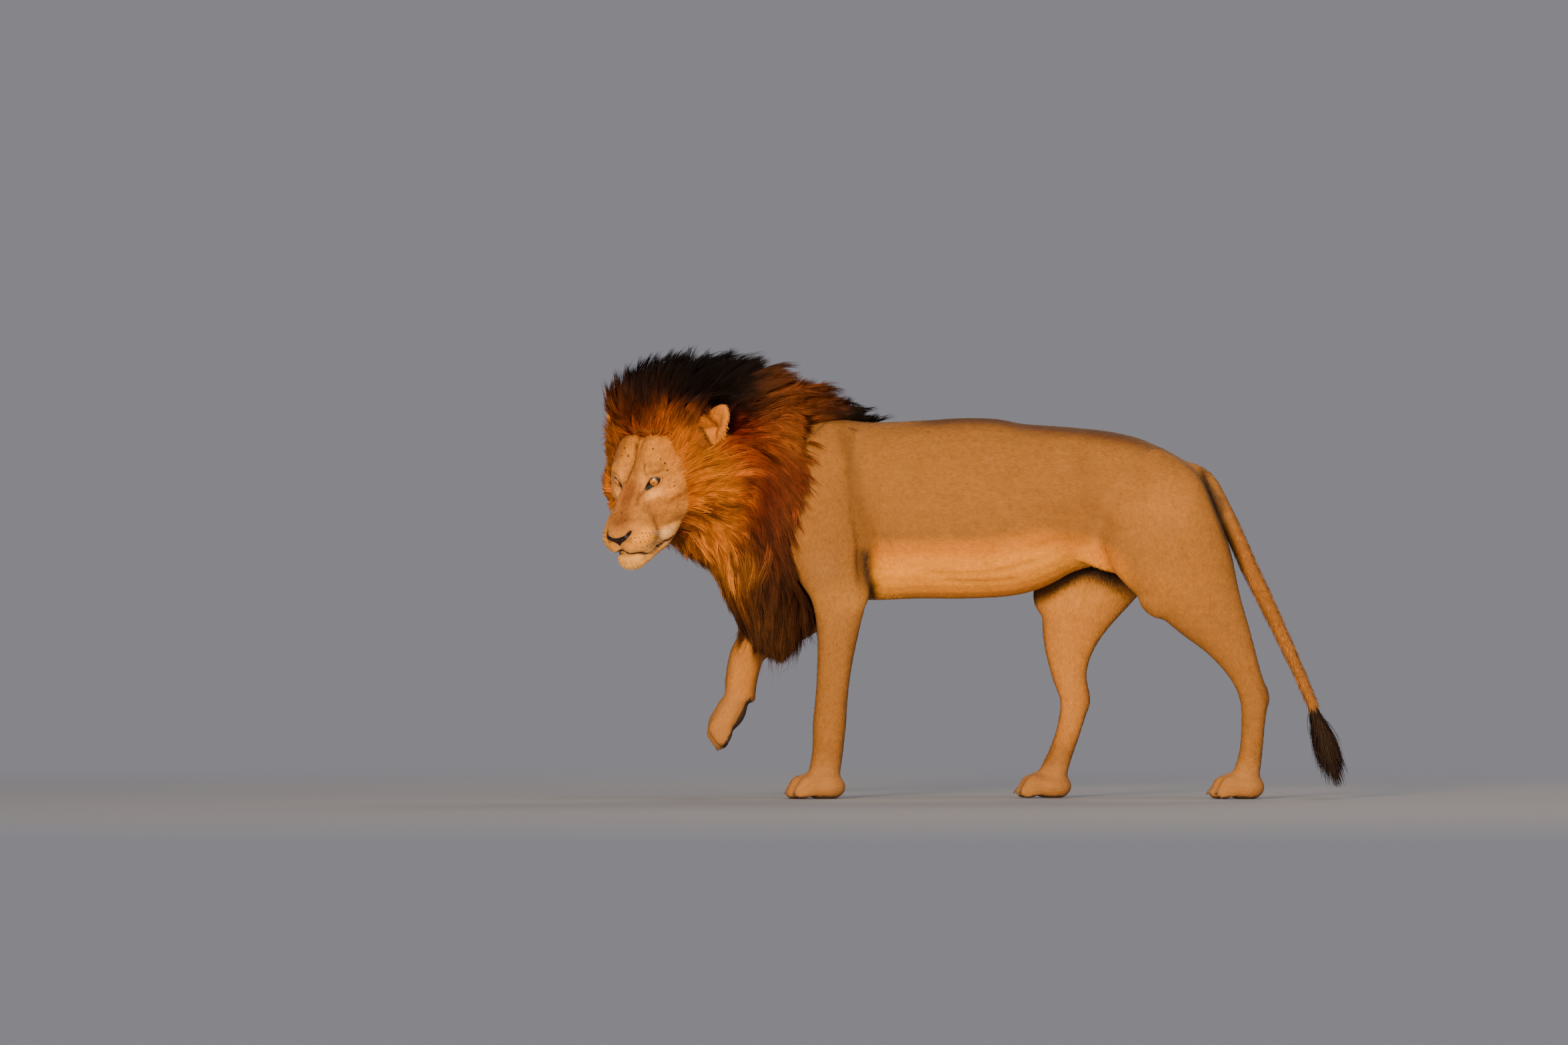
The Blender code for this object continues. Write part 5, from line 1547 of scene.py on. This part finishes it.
def clumped(roots, guides, guide_roots, closeness):
    """Spines for many locks, each drawn towards the guide that grows nearest."""
    tree = KDTree(len(guide_roots))
    for k, root in enumerate(guide_roots):
        tree.insert(root, k)
    tree.balance()
    nearest = np.array([tree.find(root)[1] for root in roots])
    own = guides[nearest]
    t = np.linspace(0, 1, STEPS)[None, :, None]
    size = RANDOM.lognormal(-0.03, 0.16, (len(roots), 1, 1))
    apart = roots[:, None] + (own - own[:, :1]) * size
    pull = closeness[nearest][:, None, None] * t**1.2
    wave = RANDOM.normal(0, 1, (len(roots), 1, 3)) * 0.0045 * t**1.5
    return apart * (1 - pull) + own * pull + wave, nearest


MANE_GUIDES, MANE_LOCKS = 4200, 112_000
LOCK_WIDTH = (0.0011, 0.0024)


def make_mane(ground, mane):
    """The mane: guides follow its form, and the locks gather round them."""
    guide_roots, guide_normals = ground.sprinkle(MANE_GUIDES, mane)
    guides = combed(guide_roots, guide_normals, ground.tree, 0.14, 0.012)
    roots, normals = ground.sprinkle(MANE_LOCKS, mane)
    crest = faces_up(guide_normals) * ramp(guide_roots[:, 2], 0.98, 1.06)
    rear = ramp(guide_roots[:, 0], -0.47, -0.41) * (1 - crest)
    spines, nearest = clumped(roots, guides, guide_roots, 0.58 + 0.34 * crest - 0.3 * rear)
    spines = clear_of_ears(spines)
    root_tints, tip_tints = mane_colours(spines[:, 1])[0], mane_colours(spines[:, -1])[1]
    strand = RANDOM.lognormal(0, 0.1, (len(roots), 1))
    lock = np.exp(RANDOM.normal(0, 1, len(guides)) * (0.2 + 0.22 * ramp(guide_roots[:, 2], 0.9, 0.78)))
    lock = lock[nearest, None]
    root_tints, tip_tints = root_tints * strand * lock, tip_tints * strand * lock
    widths = RANDOM.uniform(*LOCK_WIDTH, len(roots))
    arrays = (spines, normals, widths, root_tints, tip_tints)
    return in_pieces("mane", ribbons, arrays, 2 * STEPS - 3, ground)


BODY_TUFTS, BODY_LENGTH, BODY_WIDTH = 210_000, 0.0125, (0.0013, 0.0021)
FACE_TUFTS, FACE_LENGTH, FACE_WIDTH = 75_000, 0.009, (0.0009, 0.0015)


def make_short_coat(ground, mane):
    """Short tufts on the body, and the smallest on the face and feet."""
    places = to_head(ground.points)
    on_head = (places[:, 0] < 0.36) & within(places, (0.17, 0, 0), 0.27)
    bald = np.maximum(mane, bare_share(ground.points, ground.normals))
    body = (1 - bald) * ~on_head * (1 - elbow_crease(ground.points))
    roots, normals = ground.sprinkle(BODY_TUFTS, body)
    ways = body_lie(roots, to_head(roots)) + RANDOM.normal(0, 0.14, roots.shape)
    paws, tail = paw_share(roots), tail_share(roots)
    lengths = (BODY_LENGTH - 0.006 * paws + 0.006 * tail) * RANDOM.lognormal(0, 0.2, len(roots))
    widths = RANDOM.uniform(*BODY_WIDTH, len(roots)) * (1 - 0.3 * paws)
    lifts = np.abs(RANDOM.normal(0.06, 0.03, len(roots))) + 0.24 * tail
    tints = markings_and_painted_light(roots, normals, np.zeros(len(roots))) * RANDOM.lognormal(0, 0.08, (len(roots), 1))
    arrays = (roots, normals, ways, lengths, widths, lifts, tints)
    on_body = in_pieces("coat", blades, arrays, 2, ground)

    ears = ear_share(places)
    face = np.maximum(on_head * (1 - bald), ears) * (1 + 1.5 * (places[:, 0] < 0.2))
    roots, normals = ground.sprinkle(FACE_TUFTS, face)
    places = to_head(roots)
    ways = body_lie(roots, places) + RANDOM.normal(0, 0.14, roots.shape)
    folded = outward(places)
    chin = near(folded, (0.035, 0.0, -0.1), (0.045, 0.04, 0.022))
    jowl = ramp(places[:, 0], 0.16, 0.27) * ramp(places[:, 2], 0.12, 0.07) * ~within(places[:, 1:], 0, 0.06)
    snout = ramp(places[:, 0], 0.12, 0.04)
    ears = ear_share(places)
    lengths = FACE_LENGTH + 0.014 * chin + 0.014 * jowl - 0.0045 * snout - 0.002 * ears
    lids = np.minimum(*(eye_opening(places, side)[0] + 9 * (np.sign(places[:, 1]) != side) for side in SIDES))
    lengths = lengths * (0.4 + 0.6 * ramp(lids, 0.3, 1.6))
    lengths = lengths + 0.014 * jowl * ramp(behind_hairline(places), -0.045, 0.0)
    lengths = lengths * (0.4 + 0.6 * ramp(beside(folded, MOUTH, 2)[0], 0.005, 0.014))
    lengths = lengths * RANDOM.lognormal(0, 0.2, len(roots))
    widths = RANDOM.uniform(*FACE_WIDTH, len(roots)) + 0.0006 * jowl
    lifts = np.abs(RANDOM.normal(0.1, 0.05, len(roots))) + 0.25 * chin + 0.12 * jowl
    brush, brush_ways = ear_brush(places)
    ways = ways + 2.0 * brush[:, None] * brush_ways
    lengths, lifts, widths = lengths + 0.024 * brush, lifts + 0.45 * brush, widths * (1 + 0.4 * brush)
    tints = markings_and_painted_light(roots, normals, np.zeros(len(roots))) * RANDOM.lognormal(0, 0.15, (len(roots), 1))
    arrays = (roots, normals, ways, lengths, widths, lifts, tints)
    return on_body + in_pieces("face_coat", blades, arrays, 2, ground)


MARK_TUFTS, MARK_LENGTH, MARK_WIDTH = 9, (0.003, 0.0045), (0.001, 0.0014)  # the blades of a dark spot


def make_marks(ground):
    """The dark spots at the whiskers' roots, and the flecks on the face."""
    rows = [np.linspace(*row) * (1, side, 1) for row in WHISKER_ROWS for side in SIDES]
    spots = np.repeat(np.vstack([*rows, SPECKS]), MARK_TUFTS, axis=0)
    spots = spots + RANDOM.normal(0, 0.0005, spots.shape)
    roots, normals = feet_of([HEAD_POSE @ Vector(spot) for spot in spots], ground.tree)
    ways = body_lie(roots, to_head(roots)) + RANDOM.normal(0, 0.12, roots.shape)
    lengths = RANDOM.uniform(*MARK_LENGTH, len(roots)) * (1 + 0.8 * ramp(spots[:, 0], 0.1, 0.15))
    widths = RANDOM.uniform(*MARK_WIDTH, len(roots))
    tints = np.tile(MARK_DARK, (len(roots), 1))
    lifts = 0.3 + 0.35 * ramp(spots[:, 0], 0.1, 0.15)
    return blades("face_marks", roots, normals, ways, lengths, widths, lifts, tints, ground)


def bare_share(points, normals):
    """1 where no hair grows: the nose's pad, the lips, the lids' edges and the soles."""
    places = to_head(points)
    folded = outward(places)
    bare = ramp(nose_leather(places), 0.2, 0.6)
    aside, gap = beside(folded, MOUTH, 2)
    bare = np.maximum(bare, ramp(aside, 0.0058, 0.0044) * ramp(gap, 0.017, 0.013))
    for side in SIDES:
        gap, local = eye_opening(places, side)
        bare = np.maximum(bare, before_eye(local) * ramp(gap, 0.38, 0.28))
    sole = (normals[:, 2] < -0.6) & (points[:, 2] < 0.008)
    return np.maximum(bare, sole)


TUFT_LOCKS = 2600
TUFT_TINTS = (0.035, 0.02, 0.014), (0.02, 0.012, 0.01)  # at the root and at the tip


def make_tail_tuft(ground):
    """The dark brush at the tail's tip."""
    share = (ground.points[:, 0] > 1.0) * ramp(ground.points[:, 2], 0.262, 0.24)
    roots, normals = ground.sprinkle(TUFT_LOCKS, share)
    t = np.linspace(0, 1, STEPS)[None, :, None]
    down = np.array((0.22, 0.01, -0.97))
    lengths = (0.05 + 0.25 * (roots[:, 2:] - 0.08)) * RANDOM.lognormal(0, 0.2, (len(roots), 1))
    heading = down + RANDOM.normal(0, 0.1, roots.shape) + normals * 0.45
    spines = roots[:, None] + (heading[:, None] * t - normals[:, None] * 0.35 * t**2) * lengths[:, None]
    spines[..., 2] = np.maximum(spines[..., 2], 0.03)
    widths = RANDOM.uniform(*LOCK_WIDTH, len(roots))
    shade = RANDOM.lognormal(0, 0.3, (len(roots), 1))
    root_tints, tip_tints = (np.array(tint) * shade for tint in TUFT_TINTS)
    return ribbons("tail_tuft_hair", spines, normals, widths, root_tints, tip_tints, ground)


# ---------------------------------------------------------------- eyes, claws and whiskers
IRIS, PUPIL, CORNEA = 0.54, 0.15, 0.08  # in eyeball radii: the iris, the pupil, and the cornea's bulge
EYE_DARK, AMBER, PUPIL_DARK = (0.016, 0.009, 0.006), (0.62, 0.23, 0.018), (0.02, 0.009, 0.004)


def make_eye(side, name):
    """An eyeball whose front bulges over an amber iris with a round pupil."""
    bm = bmesh.new()
    bmesh.ops.create_uvsphere(bm, u_segments=64, v_segments=64, radius=1)
    points = np.array([v.co for v in bm.verts])
    across = np.linalg.norm(points[:, :2], axis=1)
    front = points[:, 2] > 0
    lift = np.where(front, CORNEA * np.clip(1 - (across / (IRIS + 0.06)) ** 2, 0, 1), 0)
    for v, rise in zip(bm.verts, lift):
        v.co.z += rise
    obj = object_of(name, bm)
    tints = np.tile(EYE_DARK, (len(points), 1))
    spokes = 0.5 + 0.5 * np.sin(np.arctan2(points[:, 1], points[:, 0]) * 23 + 4 * np.sin(across * 30))
    amber = np.array(AMBER) * (0.75 + 0.35 * spokes)[:, None]
    amber = amber * (1 - 0.45 * ramp(across, IRIS - 0.14, IRIS))[:, None]
    tints = glaze(tints, front * ramp(across, IRIS + 0.03, IRIS - 0.02), amber)
    tints = glaze(tints, 0.75 * front * ramp(across, PUPIL + 0.05, PUPIL - 0.05), PUPIL_DARK)
    paint(obj.data, tints)
    axes = eye_axes(side)
    axes[0] *= np.sign(np.linalg.det(axes))  # so that the ball isn't turned inside out
    turn = Matrix(axes.T.tolist()).to_4x4()
    obj.data.transform(HEAD_POSE @ Matrix.Translation(eye_centre(side)) @ turn @ Matrix.Scale(EYE_RADIUS, 4))
    obj.data.shade_smooth()
    return obj


def tapered_tube(path, radii, sides=3):
    """Points and triangles of a closed tube along a path, which ends in a point."""
    path = np.asarray(path, float)
    ways = unit(np.gradient(path, axis=0))
    across = unit(np.cross(ways, (0.31, 0.52, 0.8)))
    over = np.cross(ways, across)
    angles = 2 * math.pi * np.arange(sides) / sides
    circle = np.cos(angles)[None, :, None] * across[:, None] + np.sin(angles)[None, :, None] * over[:, None]
    rings = path[:, None] + circle * np.asarray(radii)[:, None, None]
    points = np.vstack([rings[:-1].reshape(-1, 3), path[-1:]])
    faces = []
    for k in range(len(path) - 2):
        for j in range(sides):
            a, b = k * sides + j, k * sides + (j + 1) % sides
            faces += [(a, b, b + sides), (a, b + sides, a + sides)]
    last, tip = (len(path) - 2) * sides, len(points) - 1
    faces += [(last + j, last + (j + 1) % sides, tip) for j in range(sides)]
    faces += [(0, j + 1, j) for j in range(1, sides - 1)]
    return points, np.array(faces)


def gathered(name, tubes, tint, ground):
    """Many tubes as one piece of the coat."""
    points, faces, count = [], [], 0
    for spots, triangles in tubes:
        points.append(spots)
        faces.append(triangles + count)
        count += len(spots)
    points, faces = np.vstack(points), np.vstack(faces)
    roots = np.vstack([np.repeat(spots[:1], len(spots), 0) for spots, triangles in tubes])
    places = ground.chart(roots) + (points[:, (0, 2)] - roots[:, (0, 2)]) * (OFBAKE_PATCH / 0.3)
    return coat_mesh(name, points, faces, np.tile(tint, (len(points), 1)), places)


WHISKER_WHITE, CLAW_GREY = (0.8, 0.7, 0.55), (0.14, 0.1, 0.075)


def make_whiskers(ground):
    """Stiff white hairs from the rows of dark spots, which droop backwards."""
    tubes = []
    for side in SIDES:
        for row, (first, last, count) in enumerate(WHISKER_ROWS):
            for k, (x, out, z) in enumerate(np.linspace(first, last, count)):
                start = np.array(ground.tree.find_nearest(HEAD_POSE @ Vector((x, side * out, z)))[0])
                length = (0.04 + 0.013 * k) * RANDOM.uniform(0.8, 1.2)
                way = Vector((0.75 + 0.05 * k, side * (0.62 - 0.06 * k), -0.16 - 0.13 * row))
                way = np.array((HEAD_POSE.to_3x3() @ way).normalized()) + RANDOM.normal(0, 0.07, 3)
                t = np.linspace(0, 1, 9)[:, None]
                path = start + length * (way * t + np.array((0.1, 0, -0.42)) * t**2)
                tubes.append(tapered_tube(path, 0.00042 * (1 - 0.8 * t[:, 0])))
    return gathered("whiskers", tubes, WHISKER_WHITE, ground)


def make_claws(ground):
    """The tips of the drawn-in claws, one on each toe."""
    tubes = []
    for heel, side, size, pitch in PAWS:
        length, width = size
        place = paw_place(heel, pitch)
        for reach, across, spread in toe_places(side, length, width):
            t = np.linspace(0, 1, 7)
            drop = 0.029 - 0.004 * t - 0.011 * t**2
            bend = np.column_stack([-reach - 0.016 - 0.016 * t, np.full(7, across * 1.05), drop])
            path = np.array([place @ Vector(spot) for spot in bend])
            tubes.append(tapered_tube(path, 0.0042 * (1 - t) ** 0.6, sides=8))
    return gathered("claws", tubes, CLAW_GREY, ground)


# ---------------------------------------------------------------- materials
def node_tree(name):
    material = bpy.data.materials.new(name)
    material.use_nodes = True
    tree = material.node_tree
    return material, tree.nodes, tree.links, tree.nodes["Principled BSDF"]


def attribute(nodes, name):
    node = nodes.new("ShaderNodeAttribute")
    node.attribute_name = name
    return node


def noise(nodes, links, scale, detail=3.0, stretch=None):
    """A noise texture in the object's own coordinates. stretch draws its features out along an axis."""
    place = nodes.new("ShaderNodeTexCoord")
    texture = nodes.new("ShaderNodeTexNoise")
    texture.inputs["Scale"].default_value = scale
    texture.inputs["Detail"].default_value = detail
    source = place.outputs["Object"]
    if stretch:
        mapping = nodes.new("ShaderNodeMapping")
        mapping.inputs["Scale"].default_value = stretch
        links.new(source, mapping.inputs["Vector"])
        source = mapping.outputs["Vector"]
    links.new(source, texture.inputs["Vector"])
    return texture.outputs["Fac"]


def spread(nodes, links, value, low, high):
    node = nodes.new("ShaderNodeMapRange")
    node.inputs["From Min"].default_value = 0.3
    node.inputs["From Max"].default_value = 0.7
    node.inputs["To Min"].default_value = low
    node.inputs["To Max"].default_value = high
    links.new(value, node.inputs["Value"])
    return node.outputs["Result"]


def shaded(nodes, links, colour, factor):
    node = nodes.new("ShaderNodeVectorMath")
    node.operation = "SCALE"
    links.new(colour, node.inputs[0])
    links.new(factor, node.inputs["Scale"])
    return node.outputs["Vector"]


def either(nodes, links, factor, one, other):
    """One value where the factor is 0 and the other where it is 1. Each is a number or an output."""
    node = nodes.new("ShaderNodeMix")
    links.new(factor, node.inputs["Factor"])
    for key, source in (("A", one), ("B", other)):
        if isinstance(source, float):
            node.inputs[key].default_value = source
        else:
            links.new(source, node.inputs[key])
    return node.outputs["Result"]


def tinted_material(name, scale, uneven, sockets, stretch=None):
    """A material that takes its tint from each point, with a fine unevenness of its own."""
    material, nodes, links, shader = node_tree(name)
    tone = spread(nodes, links, noise(nodes, links, scale, stretch=stretch), 1 - uneven, 1 + uneven)
    tint = attribute(nodes, "tint").outputs["Color"]
    links.new(shaded(nodes, links, tint, tone), shader.inputs["Base Color"])
    for socket, value in sockets.items():
        shader.inputs[socket].default_value = value
    return material


SHORT_HAIR = {"Roughness": 0.72, "Specular IOR Level": 0.1, "Sheen Weight": 0.08}
LONG_HAIR = {"Roughness": 0.68, "Specular IOR Level": 0.12}
WET = {"Roughness": 0.35, "Coat Weight": 1.0, "Coat Roughness": 0.03}
HORN = {"Roughness": 0.35}


def skin_material():
    """Skin with a fine lie of short hair in its bump, and moist where it is bare."""
    material, nodes, links, shader = node_tree("skin")
    along = noise(nodes, links, 260, 4.0, (0.18, 1, 1))
    down = noise(nodes, links, 260, 4.0, (1, 1, 0.18))
    steep = attribute(nodes, "steep").outputs["Fac"]
    lie = either(nodes, links, steep, along, down)
    tone = nodes.new("ShaderNodeMath")
    tone.operation = "MULTIPLY"
    links.new(spread(nodes, links, lie, 0.88, 1.1), tone.inputs[0])
    links.new(spread(nodes, links, noise(nodes, links, 9.0), 0.93, 1.07), tone.inputs[1])
    colour = shaded(nodes, links, attribute(nodes, "tint").outputs["Color"], tone.outputs["Value"])
    links.new(colour, shader.inputs["Base Color"])
    bare = attribute(nodes, "bare").outputs["Fac"]
    links.new(either(nodes, links, bare, 0.8, 0.36), shader.inputs["Roughness"])
    relief = either(nodes, links, bare, lie, noise(nodes, links, 900, 2.0))
    bump = nodes.new("ShaderNodeBump")
    bump.inputs["Strength"].default_value = 0.5
    bump.inputs["Distance"].default_value = 0.0015
    links.new(relief, bump.inputs["Height"])
    links.new(bump.outputs["Normal"], shader.inputs["Normal"])
    shader.inputs["Specular IOR Level"].default_value = 0.35
    return material


FLOOR_TONE = (0.26, 0.29, 0.36)
BACKDROP_TONE = (0.244, 0.24, 0.262)


def floor_material():
    """Pale and plain, and faded out towards its rim, so that no edge shows."""
    material, nodes, links, shader = node_tree("studio_floor")
    place = nodes.new("ShaderNodeTexCoord")
    length = nodes.new("ShaderNodeVectorMath")
    length.operation = "LENGTH"
    links.new(place.outputs["Object"], length.inputs[0])
    fade = nodes.new("ShaderNodeMapRange")
    fade.interpolation_type = "SMOOTHSTEP"
    for key, value in (("From Min", 1.4), ("From Max", 7.0), ("To Min", 1.0), ("To Max", 0.0)):
        fade.inputs[key].default_value = value
    links.new(length.outputs["Value"], fade.inputs["Value"])
    links.new(fade.outputs["Result"], shader.inputs["Alpha"])
    tone = nodes.new("ShaderNodeMix")
    tone.data_type = "RGBA"
    tone.inputs["A"].default_value = (*(0.97 * c for c in FLOOR_TONE), 1)
    tone.inputs["B"].default_value = (*(1.03 * c for c in FLOOR_TONE), 1)
    links.new(noise(nodes, links, 3.0), tone.inputs["Factor"])
    links.new(tone.outputs["Result"], shader.inputs["Base Color"])
    shader.inputs["Roughness"].default_value = 0.9
    return material


# ---------------------------------------------------------------- the studio
def make_floor():
    bm = bmesh.new()
    bmesh.ops.create_circle(bm, cap_ends=True, segments=96, radius=12)
    floor = object_of("studio_floor", bm)
    floor.data.materials.append(floor_material())


def area_light(name, azimuth, elevation, distance, size, power, colour):
    """A soft light, aimed at the lion. Azimuth and elevation are as a camera's."""
    aim = Vector((-0.1, 0, 0.7))
    a, e = math.radians(azimuth), math.radians(elevation)
    way = Vector((math.sin(a) * math.cos(e), -math.cos(a) * math.cos(e), math.sin(e)))
    light = bpy.data.lights.new(name, "AREA")
    light.size = size
    light.energy = power
    light.color = colour
    obj = bpy.data.objects.new(name, light)
    bpy.context.scene.collection.objects.link(obj)
    obj.location = aim + way * distance
    obj.rotation_euler = way.to_track_quat("Z", "Y").to_euler()


LIGHTS = [  # name, azimuth, elevation, distance, size, power and colour
    ("key", -14, 10, 30.0, 5.0, 12500, (1.0, 0.7, 0.38)),
    ("front", 12, 14, 12.0, 9.0, 620, (1.0, 0.72, 0.44)),
    ("fill", 60, 25, 7.0, 4.0, 60, (1.0, 0.85, 0.7)),
    ("top", 20, 80, 6.0, 4.0, 50, (0.93, 0.96, 1.0)),
    ("rim", 165, 35, 7.0, 2.5, 130, (1.0, 0.8, 0.58)),
]


def make_lights():
    for light in LIGHTS:
        area_light(*light)
    world = bpy.data.worlds.new("backdrop")
    world.use_nodes = True
    background = world.node_tree.nodes["Background"]
    background.inputs["Color"].default_value = (*BACKDROP_TONE, 1)
    background.inputs["Strength"].default_value = 1.0
    bpy.context.scene.world = world


CAMERA_AT = Vector((-0.4148, -48.4, 0.7667))  # in the design frame, level with the middle of the flank
LENS, SENSOR = 400.0, 36.0


def make_camera():
    camera = bpy.data.cameras.new("camera")
    camera.lens = LENS
    camera.sensor_width = SENSOR
    camera.clip_end = 200
    obj = bpy.data.objects.new("camera", camera)
    bpy.context.scene.collection.objects.link(obj)
    obj.location = SHIFT @ CAMERA_AT
    obj.rotation_euler = (math.radians(90), 0, 0)
    bpy.context.scene.camera = obj


# ---------------------------------------------------------------- the whole lion
def dress(piece, material, slot, *nodes):
    piece.data.transform(SHIFT)
    piece.data.materials.clear()
    piece.data.materials.append(material)
    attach(piece, "root")
    if nodes:
        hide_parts(*nodes)


def value_attribute(mesh, name, values):
    mesh.attributes.new(name, "FLOAT", "POINT").data.foreach_set("value", values.astype(np.float32))


SKIN_SHADE = 0.92  # the skin is a little darker than the tufts on it


def main():
    core = mane_core()
    skin = make_skin(core)
    ground = Ground(skin)
    core_tree = BVHTree.FromObject(core, bpy.context.evaluated_depsgraph_get())
    mane = mane_share(ground.points, core_tree)
    places = to_head(ground.points)
    paint(skin.data, SKIN_SHADE * markings_and_painted_light(ground.points, ground.normals, mane))
    value_attribute(skin.data, "bare", bare_share(ground.points, ground.normals))
    lie = body_lie(ground.points, places)
    value_attribute(skin.data, "steep", lie[:, 2] ** 2)
    skin.data.shade_smooth()

    flesh = [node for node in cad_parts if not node.startswith("eye")]
    dress(skin, skin_material(), "coat", *flesh)
    short = tinted_material("short_coat", 70, 0.16, SHORT_HAIR)
    long_hair = tinted_material("mane", 45, 0.16, LONG_HAIR)
    for piece in make_short_coat(ground, mane):
        dress(piece, short, "coat")
    dress(make_marks(ground), short, "dark_mane")
    for piece in make_mane(ground, mane):
        dress(piece, long_hair, "golden_mane")
    dress(make_tail_tuft(ground), long_hair, "dark_mane")
    wet = tinted_material("eye", 420, 0.15, WET)
    for side, name in zip(SIDES, ("left", "right")):
        dress(make_eye(side, "eyeball_" + name), wet, "eye", "eye_" + name)
    horn = tinted_material("horn", 300, 0.3, HORN, (1, 1, 0.3))
    dress(make_whiskers(ground), horn, "face")
    dress(make_claws(ground), horn, "nose_leather")
    remove(core)
    make_floor()
    make_lights()
    make_camera()


main()
